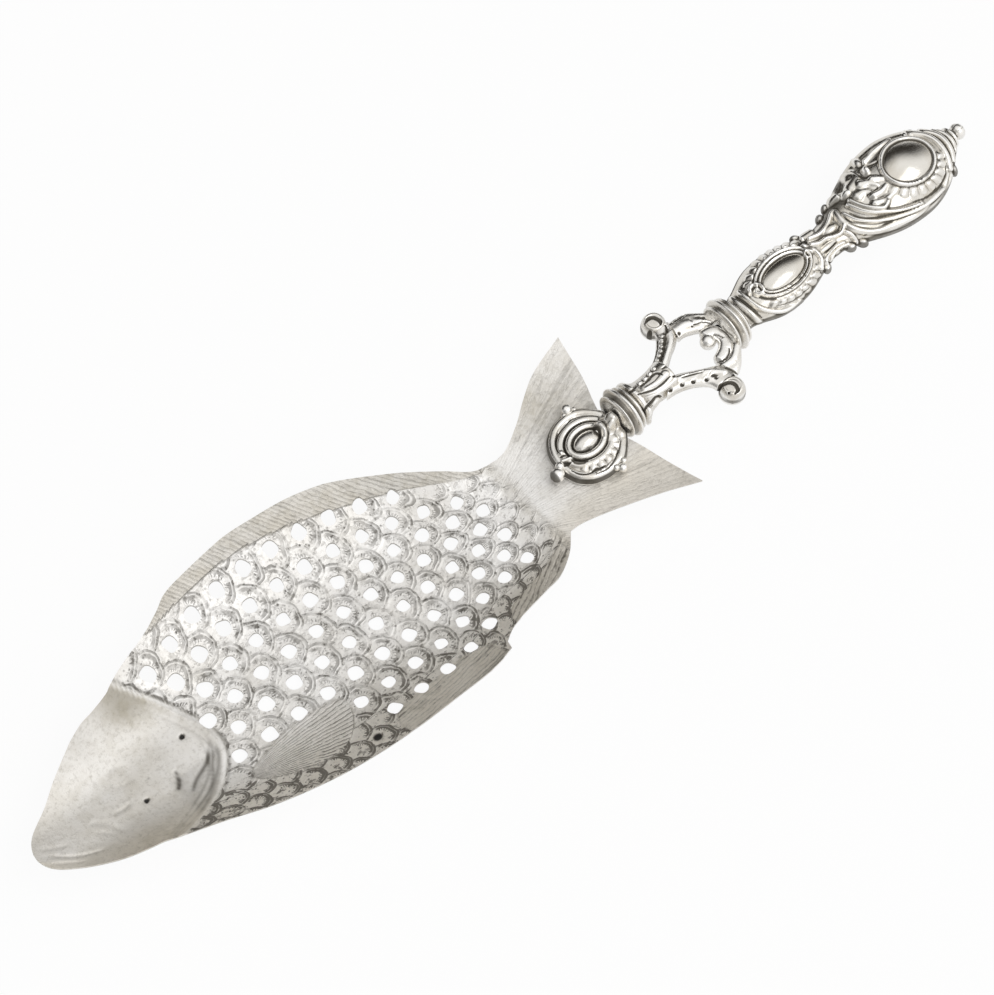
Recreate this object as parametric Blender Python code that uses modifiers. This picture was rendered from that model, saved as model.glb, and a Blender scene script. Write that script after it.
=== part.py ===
"""Fish-shaped pierced serving spoon in silver, built piece by piece.

Frame: metres, +Z up. +X runs from the fish's nose to the tip of the handle, +Y is the
fish's back, and z = 0 is the table on which the flat floor of the bowl rests. The pieces are
drawn with x = 0 at the root of the tail and y = 0 on the handle's axis. At the end one empty
moves them all, so that the origin lies under the middle of the spoon.
"""
import math

import bmesh
import bpy
import numpy as np
from mathutils import Matrix, Vector

# Clearance between soldered or nested pieces
GAP = 0.0003

# Bowl: one pierced silver sheet in the shape of a fish
SHEET = 0.0010
BODY_LENGTH = 0.1620
BACK_HEIGHT = 0.0434
BELLY_HEIGHT = 0.0318
TAIL_LENGTH = 0.0365
TAIL_HALF_SPAN = 0.0285
BOWL_DEPTH = 0.0120
NOSE_DEPTH = 0.0060
TAIL_DEPTH = 0.0012
NOSE_LIFT = 0.0120
TAIL_LIFT = 0.0050
FLOOR_START = -0.100
FLOOR_END = -0.040
FLOOR_SHARE = 0.22
FLOOR_END_DEPTH = 0.0110
NARROWEST_DISH = 0.018
EDGE_WINDOW = 0.008

# Piercings: staggered rows, one hole to a scale. The pitch narrows from the gill to the tail, and
# the rows stand at shares of the body's height, so that they close up with it
HOLE_WIDTH = 0.0042
PITCH_ALONG = 0.00955
PITCH_LOSS = 0.000092
FIRST_HOLE_X = -0.0991
ROW_LEAN = 0.00028
MIDDLE_ROW_SHARE = 0.463
ROW_SHARE = 0.108
ROWS_BELOW = 3
ROWS_ABOVE = 4
MOST_IN_ROW = 12
GILL_EDGE = -0.1079
SCALES_END = -0.0115
BACK_MARGIN = 0.0055
BELLY_MARGIN = 0.0080
SIDE_FIN_END = -0.0760
SIDE_FIN_TOP = -0.0060

# Cast cartouche on the tail
CARTOUCHE_RADIUS = 0.0102
CARTOUCHE_RIM = 0.0032
CARTOUCHE_OVAL_LENGTH = 0.0122
CARTOUCHE_OVAL_WIDTH = 0.0086
CARTOUCHE_OVAL_RISE = 0.0010
CARTOUCHE_BOSS_LENGTH = 0.0090
CARTOUCHE_BOSS_WIDTH = 0.0055
CARTOUCHE_BOSS_RISE = 0.0024
CARTOUCHE_NECK_RADIUS = 0.0028
CARTOUCHE_NECK_LENGTH = 0.0060
# Knobs round the cartouche: their turns from +X in degrees, and their radii
CARTOUCHE_KNOB_TURNS = (183.0, 76.0, 278.0)
CARTOUCHE_KNOB_RADII = (0.0019, 0.0015, 0.0016)

# Stem: moulded collar, leaf socket and the pin that carries them, and where the collar stands
# in the fork of the tail, as a share of the tail's length
COLLAR_SEAT = 0.836
STEM_COLLAR_LENGTH = 0.0057
STEM_COLLAR_RADIUS = 0.0077
STEM_PIN_RADIUS = 0.0015
PIN_DEPTH = 0.0050
SOCKET_LENGTH = 0.0135
SOCKET_FLANGE_RADIUS = 0.0062
SOCKET_FLANGE_LENGTH = 0.0014
SOCKET_NECK_RADIUS = 0.0042
SOCKET_FILLET_LENGTH = 0.0026
SOCKET_MOUTH_RADIUS = 0.0052
SOCKET_FLARE_LENGTH = 0.0060
EDGE_ROUND = 0.0004

# Openwork yoke: two beaded arms with volutes and two bridge scrolls
ARM_RADIUS = 0.0020
ARM_FOOT = 0.0014
VOLUTE_REACH = 0.0082
VOLUTE_OFFSET = 0.0148
VOLUTE_RADIUS = 0.0035
VOLUTE_THICKNESS = 0.0046
BRIDGE_RADIUS = 0.0018
BRIDGE_WIDTH = 0.0034
BRIDGE_HEIGHT = 0.0098
YOKE_LENGTH = 0.0196

# Handle: two stamped shells on a pitch core, a tang, a collar and a finial
HANDLE_COLLAR_LENGTH = 0.0062
HANDLE_COLLAR_RADIUS = 0.0080
SHELL_WALL = 0.0008
HANDLE_LENGTH = 0.0826
NECK_RADIUS = 0.0052
FIRST_LOBE_RADIUS = 0.0089
WAIST_RADIUS = 0.0051
LOBE_RADIUS = 0.0129
END_RADIUS = 0.0034
HANDLE_FLATNESS = 0.727
SHOULDER = 1.3
END_SHOULDER = 1.9
KNOB_RADIUS = 0.0015
ALMOND_LENGTH = 0.0150
ALMOND_WIDTH = 0.0070
OVAL_LENGTH = 0.0170
OVAL_WIDTH = 0.0135
BOSS_RISE = 0.0012
TANG_RADIUS = 0.0018
TANG_REACH = 0.0420
FINIAL_LENGTH = 0.0060
FINIAL_RADIUS = 0.0023
FINIAL_FOOT = 0.0008
FINIAL_TURN = math.radians(140.0)

# Places along the axis of the handle, each from the piece before it
AXIS_Z = LOBE_RADIUS * HANDLE_FLATNESS
STEM_COLLAR_START = COLLAR_SEAT * TAIL_LENGTH
CARTOUCHE_X = STEM_COLLAR_START - GAP - CARTOUCHE_RADIUS
SOCKET_START = STEM_COLLAR_START + STEM_COLLAR_LENGTH + GAP
YOKE_START = SOCKET_START + SOCKET_LENGTH + GAP
HANDLE_COLLAR_START = YOKE_START + YOKE_LENGTH
HANDLE_START = HANDLE_COLLAR_START + HANDLE_COLLAR_LENGTH + GAP
HANDLE_END = HANDLE_START + HANDLE_LENGTH
FINIAL_START = HANDLE_END + GAP

# Stations of the handle's lobes, waist, bosses and side knobs, as shares of its length
FIRST_LOBE_SHARE = 0.170
WAIST_SHARE = 0.405
LOBE_SHARE = 0.757
ALMOND_SHARE = 0.202
OVAL_SHARE = 0.790
KNOB_SHARES = (0.345, 0.458, 0.499, 0.926)

# Facets round a turned piece and round a hole
TURN_STEPS = 24
BALL_SEGMENTS = 20
BALL_RINGS = 10
KNOB_SEGMENTS = 10
KNOB_RINGS = 6
HOLE_SIDES = 8
SHELL_STATIONS = 26
CORE_STATIONS = 18
FINIAL_STEPS = 9
BODY_COLUMNS = 30
NOSE_CROWDING = 1.25
TAIL_COLUMNS = 8
BOWL_ROWS = 12
OUTLINE_STEPS = 4
MERGE = 0.00001

# Edge of the back from the nose to the root of the tail, as shares of the body's length
# (0 at the root, 1 at the nose) and of the back's height
BACK_EDGE = (
    (1.000, 0.184), (0.963, 0.371), (0.889, 0.528), (0.815, 0.643), (0.778, 0.680),
    (0.741, 0.719), (0.704, 0.779), (0.630, 0.859), (0.593, 0.912), (0.549, 0.975),
    (0.444, 1.000), (0.370, 0.977), (0.296, 0.926), (0.222, 0.820), (0.148, 0.650),
    (0.086, 0.465), (0.043, 0.339), (-0.017, 0.316),
)
# Edge of the belly from the root of the tail to the nose, with the steps of its two fins
BELLY_EDGE = (
    (-0.004, -0.459), (0.033, -0.626), (0.074, -0.739), (0.111, -0.758), (0.185, -0.805),
    (0.219, -0.887), (0.223, -0.965), (0.259, -1.000), (0.333, -0.987), (0.444, -0.956),
    (0.556, -0.849), (0.667, -0.664), (0.741, -0.497), (0.815, -0.362), (0.889, -0.204),
    (0.963, 0.013),
)
# Tail fin, as shares of its length and half span, and which of its points are corners
TAIL_EDGE = (
    (0.297, 0.614, False), (0.485, 0.765, False), (0.677, 0.888, False), (1.000, 0.993, True),
    (0.932, 0.579, False), (0.852, 0.305, False), (0.770, 0.000, True), (0.847, -0.267, False),
    (0.895, -0.640, False), (0.940, -1.021, True), (0.671, -0.832, False), (0.334, -0.642, False),
)
BELLY_CORNERS = (0, 4, 5, 6)
# Profile of the cartouche's disc from its middle over two rings, as shares of its radius and rim
CARTOUCHE_STEPS = (
    (0.00, 0.80), (0.60, 0.80), (0.66, 1.00), (0.74, 1.08), (0.80, 0.78), (0.86, 0.75),
    (0.91, 1.00), (0.96, 1.00), (1.00, 0.80), (1.00, 0.20), (0.95, 0.00), (0.00, 0.00),
)
# Mouldings of the two collars, tip side first, as shares of their length and radius
STEM_COLLAR_STEPS = (
    (1.00, 0.72), (0.96, 0.84), (0.80, 0.84), (0.74, 0.74), (0.68, 0.80), (0.64, 0.98),
    (0.56, 1.00), (0.46, 0.98), (0.40, 0.76), (0.34, 0.76), (0.28, 0.86), (0.10, 0.86),
    (0.00, 0.74),
)
HANDLE_COLLAR_STEPS = (
    (1.00, 0.66), (0.96, 0.80), (0.82, 0.92), (0.72, 0.92), (0.66, 0.84), (0.58, 0.98),
    (0.48, 1.00), (0.30, 0.99), (0.22, 0.86), (0.14, 0.94), (0.06, 0.92), (0.00, 0.80),
)
# Path of an arm from its straight foot to its volute, as shares of its run and of its climb
ARM_STEPS = ((0.39, 0.24), (0.80, 0.51), (1.00, 0.76), (1.00, 1.00))
BRIDGE_FOOT = 1
# Curl of a bridge against the collar, as shares of its width back from the collar and of its height
BRIDGE_STEPS = ((1.00, 1.00), (0.24, 0.80), (0.03, 0.51), (0.35, 0.29), (0.88, 0.31))

SILVER_FROSTED = ((0.72, 0.70, 0.66), 0.42, 1.0)
SILVER_POLISHED = ((0.80, 0.78, 0.73), 0.20, 1.0)
SILVER_DARKENED = ((0.62, 0.60, 0.56), 0.30, 1.0)
PITCH = ((0.05, 0.035, 0.025), 0.80, 0.0)
STEEL = ((0.45, 0.45, 0.46), 0.45, 1.0)


def clear_scene():
    """Remove every object, so that the part starts from nothing."""
    for item in list(bpy.data.objects):
        bpy.data.objects.remove(item, do_unlink=True)


def new_collection(name):
    """A collection linked to the scene."""
    group = bpy.data.collections.new(name)
    bpy.context.scene.collection.children.link(group)
    return group


def new_material(name, finish):
    """A Principled material from a colour, a roughness and a metallic value."""
    colour, roughness, metallic = finish
    material = bpy.data.materials.new(name)
    material.use_nodes = True
    shader = material.node_tree.nodes["Principled BSDF"]
    shader.inputs["Base Color"].default_value = (*colour, 1.0)
    shader.inputs["Roughness"].default_value = roughness
    shader.inputs["Metallic"].default_value = metallic
    return material


def finish_part(item, finish):
    """Put a part in the spoon's collection with a material of its own and smooth shading."""
    parts.objects.link(item)
    item.data.materials.clear()
    item.data.materials.append(new_material(item.name + "_finish", finish))
    item.data.shade_smooth()
    return item


def as_cutter(item):
    """Keep a helper solid out of the part itself."""
    cutters.objects.link(item)
    item.hide_render = True
    item.display_type = "WIRE"
    return item


def add_boolean(item, operation, other):
    """Add one exact Boolean step to an object."""
    step = item.modifiers.new(operation.lower() + "_" + other.name, "BOOLEAN")
    step.operation = operation
    step.solver = "EXACT"
    step.object = other


def baked_mesh(item):
    """The object's evaluated mesh in world space, with loose caps welded."""
    bpy.context.view_layer.update()
    graph = bpy.context.evaluated_depsgraph_get()
    mesh = bpy.data.meshes.new_from_object(item.evaluated_get(graph))
    mesh.transform(item.matrix_world)
    work = bmesh.new()
    work.from_mesh(mesh)
    bmesh.ops.remove_doubles(work, verts=work.verts, dist=MERGE)
    work.to_mesh(mesh)
    work.free()
    return mesh


def baked_object(name, item):
    """A mesh object that takes the place of a curve or of a modified object."""
    bpy.context.scene.collection.objects.link(item)
    mesh = baked_mesh(item)
    bpy.data.objects.remove(item, do_unlink=True)
    return bpy.data.objects.new(name, mesh)


def add_screw(item):
    """Turn a profile once round its Z axis."""
    screw = item.modifiers.new("turn", "SCREW")
    screw.axis = "Z"
    screw.steps = TURN_STEPS
    screw.render_steps = TURN_STEPS
    screw.use_merge_vertices = True
    screw.merge_threshold = MERGE


def turned(name, profile, flatness=1.0, closed=False):
    """A piece turned about the handle's axis.

    The profile is (place along X, radius), and it runs from the tip side to the nose side
    along its outer face. Flatness below 1 presses the piece flat in Z.
    """
    mesh = bpy.data.meshes.new(name)
    points = [(radius, 0.0, along) for along, radius in profile]
    edges = [(i, i + 1) for i in range(len(points) - 1)]
    if closed:
        edges.append((len(points) - 1, 0))
    mesh.from_pydata(points, edges, [])
    item = bpy.data.objects.new(name, mesh)
    add_screw(item)
    solid = baked_object(name, item)
    onto_axis = Matrix.Translation((0.0, 0.0, AXIS_Z)) @ Matrix.Rotation(math.pi / 2, 4, "Y")
    solid.data.transform(onto_axis @ Matrix.Diagonal((flatness, 1.0, 1.0, 1.0)))
    return solid


def ball(name, place, half_sizes, segments=BALL_SEGMENTS, rings=BALL_RINGS):
    """A ball or an ellipsoid with the given half sizes."""
    work = bmesh.new()
    bmesh.ops.create_uvsphere(work, u_segments=segments, v_segments=rings, radius=1.0)
    work.transform(Matrix.Translation(place) @ Matrix.Diagonal((*half_sizes, 1.0)))
    mesh = bpy.data.meshes.new(name)
    work.to_mesh(mesh)
    work.free()
    return bpy.data.objects.new(name, mesh)


def knob_ball(name, place, radius):
    """A small ball with few facets, for a knob."""
    return ball(name, place, (radius, radius, radius), KNOB_SEGMENTS, KNOB_RINGS)


def axis_rod(name, start, end, radius):
    """A round rod on the handle's axis."""
    return turned(name, ((end, 0.0), (end, radius), (start, radius), (start, 0.0)))


def body_points(edge, height):
    """Edge points in metres from shares of the body's length and of a height."""
    return [(-BODY_LENGTH * along, height * across) for along, across in edge]


def tail_points():
    """Tail points in metres, with their corner marks."""
    return [(TAIL_LENGTH * along, TAIL_HALF_SPAN * across, corner)
            for along, across, corner in TAIL_EDGE]


def edge_arrays():
    """Back and belly edges, nose to tail tip, as arrays for interpolation."""
    tail = tail_points()
    tips = [i for i, point in enumerate(tail) if point[2]]
    back = body_points(BACK_EDGE, BACK_HEIGHT) + [p[:2] for p in tail[:tips[0] + 1]]
    belly = body_points(BELLY_EDGE, BELLY_HEIGHT)
    belly = [p[:2] for p in tail[tips[-1]:]] + belly + [back[0]]
    return np.array(back), np.array(belly[::-1])


def edge_height(edge, along):
    """Height of an edge at a place along the fish, eased over a short window."""
    window = EDGE_WINDOW * np.linspace(-1.0, 1.0, 5)
    return np.mean([np.interp(along + step, edge[:, 0], edge[:, 1]) for step in window], axis=0)


def ease(share):
    """Smooth rise from 0 to 1."""
    share = np.clip(share, 0.0, 1.0)
    return share * share * (3.0 - 2.0 * share)


def dish(along, across):
    """Height of the underside of the bowl: a flat floor, rising sides, nose and tail."""
    back, belly = edge_arrays()
    top = edge_height(back, along)
    bottom = edge_height(belly, along)
    half = np.maximum((top - bottom) / 2, NARROWEST_DISH)
    offset = np.abs(across - (top + bottom) / 2) / half
    keel = NOSE_LIFT * np.clip((FLOOR_START - along) / (BODY_LENGTH + FLOOR_START), 0.0, 1.0) ** 2
    keel = keel + TAIL_LIFT * ease((along - FLOOR_END) / -FLOOR_END)
    depth = np.interp(
        along,
        (-BODY_LENGTH, (FLOOR_START + FLOOR_END) / 2, FLOOR_END, 0.0),
        (NOSE_DEPTH, BOWL_DEPTH, FLOOR_END_DEPTH, TAIL_DEPTH))
    rise = np.clip((offset - FLOOR_SHARE) / (1.0 - FLOOR_SHARE), 0.0, None)
    return keel + depth * rise ** 2


def hole_centres():
    """Centres of the piercings that fall on the scaled part of the body."""
    back, belly = edge_arrays()
    centres = []
    for row in range(-ROWS_BELOW, ROWS_ABOVE + 1):
        for place in range(-1, MOST_IN_ROW):
            step = place - 0.5 * (row % 2)
            x = FIRST_HOLE_X + ROW_LEAN * row + step * (PITCH_ALONG - PITCH_LOSS * step)
            top = edge_height(back, x)
            bottom = edge_height(belly, x)
            y = bottom + (MIDDLE_ROW_SHARE + ROW_SHARE * row) * (top - bottom)
            on_side_fin = x < SIDE_FIN_END and y < SIDE_FIN_TOP
            in_length = GILL_EDGE < x < SCALES_END
            in_height = bottom + BELLY_MARGIN < y < top - BACK_MARGIN
            if in_length and in_height and not on_side_fin:
                centres.append((x, y))
    return centres


def outline_edges():
    """The fish's back edge, the end of its tail and its belly edge, as smooth lines of points.

    One cyclic Bezier curve goes round the fish, with sharp tail tips and fin steps.
    """
    points = [(x, y, False) for x, y in body_points(BACK_EDGE, BACK_HEIGHT)]
    points += tail_points()
    belly = body_points(BELLY_EDGE, BELLY_HEIGHT)
    points += [(x, y, i in BELLY_CORNERS) for i, (x, y) in enumerate(belly)]
    curve = bpy.data.curves.new("fish_outline", "CURVE")
    curve.dimensions = "2D"
    curve.fill_mode = "NONE"
    curve.resolution_u = OUTLINE_STEPS
    spline = curve.splines.new("BEZIER")
    spline.bezier_points.add(len(points) - 1)
    spline.use_cyclic_u = True
    for knot, (x, y, _) in zip(spline.bezier_points, points):
        knot.co = (x, y, 0.0)
    for knot, (_, _, corner) in zip(spline.bezier_points, points):
        kind = "VECTOR" if corner else "AUTO"
        knot.handle_left_type = kind
        knot.handle_right_type = kind
    line = baked_object("fish_outline", bpy.data.objects.new("fish_outline", curve))
    places = np.array([vert.co[:2] for vert in line.data.vertices])
    bpy.data.objects.remove(line, do_unlink=True)
    tips = [len(BACK_EDGE) + i for i, knot in enumerate(TAIL_EDGE) if knot[2]]
    back_tip = tips[0] * OUTLINE_STEPS
    belly_tip = tips[-1] * OUTLINE_STEPS
    belly_line = np.vstack((places[belly_tip:], places[:1]))[::-1]
    return places[:back_tip + 1], places[back_tip:belly_tip + 1][::-1], belly_line


def body_columns():
    """Places of the grid's columns from the nose to the root of the tail, closer at the nose."""
    shares = np.linspace(0.0, 1.0, BODY_COLUMNS + 1) ** NOSE_CROWDING
    steps = [-BODY_LENGTH * BELLY_EDGE[i][0] for i in BELLY_CORNERS[1:]]
    return np.unique(np.concatenate((BODY_LENGTH * (shares - 1.0), steps)))


def fit_to_fish(work, columns):
    """Move the points of a unit grid between the fish's edges and onto the dish."""
    back, end, belly = outline_edges()
    last = len(columns) - 1 + TAIL_COLUMNS
    rows = np.array([vert.co.y + 0.5 for vert in work.verts])
    counts = np.array([round((vert.co.x + 0.5) * last) for vert in work.verts])
    end_y = end[0, 1] + rows * (end[-1, 1] - end[0, 1])
    reach = (counts - len(columns) + 1) / TAIL_COLUMNS
    x = reach * np.interp(end_y, end[:, 1], end[:, 0])
    on_body = counts < len(columns)
    x[on_body] = columns[counts[on_body]]
    low = np.interp(x, belly[:, 0], belly[:, 1])
    high = np.interp(x, back[:, 0], back[:, 1])
    y = low + rows * (high - low)
    for vert, place in zip(work.verts, np.column_stack((x, y, dish(x, y)))):
        vert.co = place


def build_hole_cutters():
    """All the piercings as upright prisms in one cutter."""
    work = bmesh.new()
    for x, y in hole_centres():
        middle = Vector((x, y, float(dish(x, y)) + SHEET / 2))
        turn = Matrix.Rotation(math.pi / HOLE_SIDES, 4, "Z")
        bmesh.ops.create_cone(
            work, cap_ends=True, segments=HOLE_SIDES, radius1=HOLE_WIDTH / 2,
            radius2=HOLE_WIDTH / 2, depth=HOLE_WIDTH + 2 * SHEET, matrix=Matrix.Translation(middle) @ turn)
    mesh = bpy.data.meshes.new("scale_piercings")
    work.to_mesh(mesh)
    work.free()
    return bpy.data.objects.new("scale_piercings", mesh)


def build_fish_bowl():
    """The bowl: a fitted grid in the shape of a dished fish, made thick and then pierced."""
    columns = body_columns()
    work = bmesh.new()
    bmesh.ops.create_grid(
        work, x_segments=len(columns) - 1 + TAIL_COLUMNS, y_segments=BOWL_ROWS, size=0.5)
    fit_to_fish(work, columns)
    bmesh.ops.remove_doubles(work, verts=work.verts, dist=MERGE)
    mesh = bpy.data.meshes.new("fish_bowl")
    work.to_mesh(mesh)
    work.free()
    bowl = bpy.data.objects.new("fish_bowl", mesh)
    wall = bowl.modifiers.new("wall", "SOLIDIFY")
    wall.thickness = SHEET
    wall.offset = 1.0
    add_boolean(bowl, "DIFFERENCE", as_cutter(build_hole_cutters()))
    return finish_part(bowl, SILVER_FROSTED)


def cartouche_seat():
    """Height of the cartouche's underside, just clear of the tail below it."""
    angles = np.linspace(0.0, 2 * math.pi, TURN_STEPS)
    rim_x = CARTOUCHE_X + CARTOUCHE_RADIUS * np.cos(angles)
    rim_y = CARTOUCHE_RADIUS * np.sin(angles)
    return float(np.max(dish(rim_x, rim_y))) + SHEET + GAP


def build_cartouche():
    """Cast medallion on the tail: two rings, an oval boss, three knobs and a neck."""
    seat = cartouche_seat()
    radius = CARTOUCHE_RADIUS
    mesh = bpy.data.meshes.new("tail_cartouche")
    points = [(radius * across, 0.0, seat + CARTOUCHE_RIM * up) for across, up in CARTOUCHE_STEPS]
    mesh.from_pydata(points, [(i, i + 1) for i in range(len(points) - 1)], [])
    disc = bpy.data.objects.new("cartouche_disc", mesh)
    add_screw(disc)
    cartouche = baked_object("tail_cartouche", disc)
    cartouche.data.transform(Matrix.Translation((CARTOUCHE_X, 0.0, 0.0)))
    face = seat + CARTOUCHE_STEPS[0][1] * CARTOUCHE_RIM
    mounds = (
        ("oval", CARTOUCHE_OVAL_LENGTH, CARTOUCHE_OVAL_WIDTH, CARTOUCHE_OVAL_RISE),
        ("boss", CARTOUCHE_BOSS_LENGTH, CARTOUCHE_BOSS_WIDTH, CARTOUCHE_BOSS_RISE),
    )
    for name, length, width, rise in mounds:
        mound = ball("cartouche_" + name, (CARTOUCHE_X, 0.0, face), (length / 2, width / 2, rise))
        add_boolean(cartouche, "UNION", as_cutter(mound))
    for i, size in enumerate(CARTOUCHE_KNOB_RADII):
        angle = math.radians(CARTOUCHE_KNOB_TURNS[i])
        place = (CARTOUCHE_X + radius * math.cos(angle), radius * math.sin(angle), seat + size)
        add_boolean(cartouche, "UNION", as_cutter(knob_ball(f"cartouche_knob_{i}", place, size)))
    end = CARTOUCHE_X + radius
    neck = axis_rod("cartouche_neck", end - CARTOUCHE_NECK_LENGTH, end, CARTOUCHE_NECK_RADIUS)
    add_boolean(cartouche, "UNION", as_cutter(neck))
    bore = axis_rod("cartouche_bore", end - PIN_DEPTH, end + PIN_DEPTH, STEM_PIN_RADIUS + GAP)
    add_boolean(cartouche, "DIFFERENCE", as_cutter(bore))
    return finish_part(cartouche, SILVER_POLISHED)


def ring_profile(start, length, radius, bore, shares):
    """Closed profile of a moulded ring with a bore, from shares of its length and radius."""
    outer = [(start + length * along, radius * across) for along, across in shares]
    return outer + [(start, bore), (start + length, bore)]


def build_stem_collar():
    """Collar of three mouldings between the tail and the socket."""
    profile = ring_profile(
        STEM_COLLAR_START, STEM_COLLAR_LENGTH, STEM_COLLAR_RADIUS, STEM_PIN_RADIUS + GAP,
        STEM_COLLAR_STEPS)
    return finish_part(turned("stem_collar", profile, closed=True), SILVER_POLISHED)


def build_stem_pin():
    """Pin that carries the collar and joins the cartouche to the socket."""
    start = STEM_COLLAR_START - PIN_DEPTH
    end = SOCKET_START + PIN_DEPTH
    return finish_part(axis_rod("stem_pin", start, end, STEM_PIN_RADIUS), STEEL)


def build_yoke_socket():
    """Leaf socket: a flange, a drawn-in neck and a mouth that holds the two arms."""
    end = SOCKET_START + SOCKET_LENGTH
    bore = STEM_PIN_RADIUS + GAP
    bottom = SOCKET_START + PIN_DEPTH + GAP
    neck = SOCKET_NECK_RADIUS
    mouth = SOCKET_MOUTH_RADIUS
    flange = SOCKET_FLANGE_RADIUS
    flange_end = SOCKET_START + SOCKET_FLANGE_LENGTH
    profile = (
        (end, 0.0), (end, mouth - EDGE_ROUND), (end - EDGE_ROUND, mouth),
        (end - SOCKET_FLARE_LENGTH / 2, (mouth + neck) / 2), (end - SOCKET_FLARE_LENGTH, neck),
        (flange_end + SOCKET_FILLET_LENGTH, neck),
        (flange_end + SOCKET_FILLET_LENGTH / 3, (neck + flange) / 2),
        (flange_end, flange), (SOCKET_START + EDGE_ROUND, flange),
        (SOCKET_START, flange - EDGE_ROUND),
        (SOCKET_START, bore), (bottom, bore), (bottom, 0.0),
    )
    return finish_part(turned("yoke_socket", profile), SILVER_POLISHED)


def scroll_tube(name, points, radius):
    """A round scroll along a smooth path, with closed ends, at the height of the axis."""
    curve = bpy.data.curves.new(name, "CURVE")
    curve.dimensions = "3D"
    curve.bevel_depth = radius
    curve.bevel_resolution = 2
    curve.resolution_u = 4
    curve.use_fill_caps = True
    spline = curve.splines.new("BEZIER")
    spline.bezier_points.add(len(points) - 1)
    for knot, (x, y) in zip(spline.bezier_points, points):
        knot.co = (x, y, AXIS_Z)
    for knot in spline.bezier_points:
        knot.handle_left_type = "AUTO"
        knot.handle_right_type = "AUTO"
    return baked_object(name, bpy.data.objects.new(name, curve))


def arm_path():
    """Middle line of the arm on the back's side, from the socket to its volute."""
    mouth = SOCKET_MOUTH_RADIUS - ARM_RADIUS - GAP
    foot = YOKE_START + ARM_FOOT
    run = YOKE_START + VOLUTE_REACH + VOLUTE_RADIUS - ARM_RADIUS - foot
    climb = VOLUTE_OFFSET - mouth
    bend = [(foot + run * along, mouth + climb * across) for along, across in ARM_STEPS]
    return [(YOKE_START, mouth), (foot, mouth)] + bend


def bridge_path():
    """Middle line of the bridge on the back's side, from the arm to its inner curl."""
    collar = HANDLE_COLLAR_START - GAP - BRIDGE_RADIUS
    straight = len(arm_path()) - len(ARM_STEPS)
    arm = arm_path()[straight + BRIDGE_FOOT]
    foot = (arm[0] + 2 * ARM_RADIUS + GAP, arm[1] - GAP)
    curl = [(collar - BRIDGE_WIDTH * back, BRIDGE_HEIGHT * up) for back, up in BRIDGE_STEPS]
    return [foot] + curl


def mirrored(points):
    """The same path on the belly's side."""
    return [(x, -y) for x, y in points]


def build_yoke_arm(name, side):
    """One beaded arm of the yoke with the volute at its end."""
    path = arm_path() if side > 0 else mirrored(arm_path())
    arm = scroll_tube(name, path, ARM_RADIUS)
    work = bmesh.new()
    bmesh.ops.create_cone(
        work, cap_ends=True, segments=TURN_STEPS // 2, radius1=VOLUTE_RADIUS,
        radius2=VOLUTE_RADIUS, depth=VOLUTE_THICKNESS)
    middle = (YOKE_START + VOLUTE_REACH, side * VOLUTE_OFFSET, AXIS_Z)
    work.transform(Matrix.Translation(middle))
    mesh = bpy.data.meshes.new(name + "_volute")
    work.to_mesh(mesh)
    work.free()
    volute = bpy.data.objects.new(name + "_volute", mesh)
    add_boolean(arm, "UNION", as_cutter(volute))
    return finish_part(arm, SILVER_POLISHED)


def build_bridge(name, side):
    """One scroll that carries the handle's collar on an arm."""
    path = bridge_path() if side > 0 else mirrored(bridge_path())
    return finish_part(scroll_tube(name, path, BRIDGE_RADIUS), SILVER_POLISHED)


def build_handle_collar():
    """Collar of mouldings at the foot of the handle, bored for the tang."""
    profile = ring_profile(
        HANDLE_COLLAR_START, HANDLE_COLLAR_LENGTH, HANDLE_COLLAR_RADIUS, TANG_RADIUS + GAP,
        HANDLE_COLLAR_STEPS)
    return finish_part(turned("handle_collar", profile, closed=True), SILVER_POLISHED)


def fall_to(high, low, share):
    """Radius on the way from a lobe down to a waist, full near the lobe."""
    return float(high + (low - high) * ease(share ** SHOULDER))


def handle_radius(reach):
    """Outer radius of the handle: two lobes that fall away to the neck, the waist and the end."""
    share = reach / HANDLE_LENGTH
    if share < FIRST_LOBE_SHARE:
        return fall_to(FIRST_LOBE_RADIUS, NECK_RADIUS, 1.0 - share / FIRST_LOBE_SHARE)
    if share < WAIST_SHARE:
        fall = (share - FIRST_LOBE_SHARE) / (WAIST_SHARE - FIRST_LOBE_SHARE)
        return fall_to(FIRST_LOBE_RADIUS, WAIST_RADIUS, fall)
    if share < LOBE_SHARE:
        return fall_to(LOBE_RADIUS, WAIST_RADIUS, (LOBE_SHARE - share) / (LOBE_SHARE - WAIST_SHARE))
    fall = (share - LOBE_SHARE) / (1.0 - LOBE_SHARE)
    return LOBE_RADIUS + (END_RADIUS - LOBE_RADIUS) * fall ** END_SHOULDER


def handle_profile(inset, start, end, count):
    """Points (place, radius) on the handle's side from its tip end to its neck end."""
    return [(x, handle_radius(min(max(x - HANDLE_START, 0.0), HANDLE_LENGTH)) - inset)
            for x in np.linspace(end, start, count)]


def boss_place(share):
    """Place on the front face of the handle for a boss."""
    reach = HANDLE_LENGTH * share
    height = handle_radius(reach) * HANDLE_FLATNESS
    return (HANDLE_START + reach, 0.0, AXIS_Z + height - 2 * SHELL_WALL)


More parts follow.
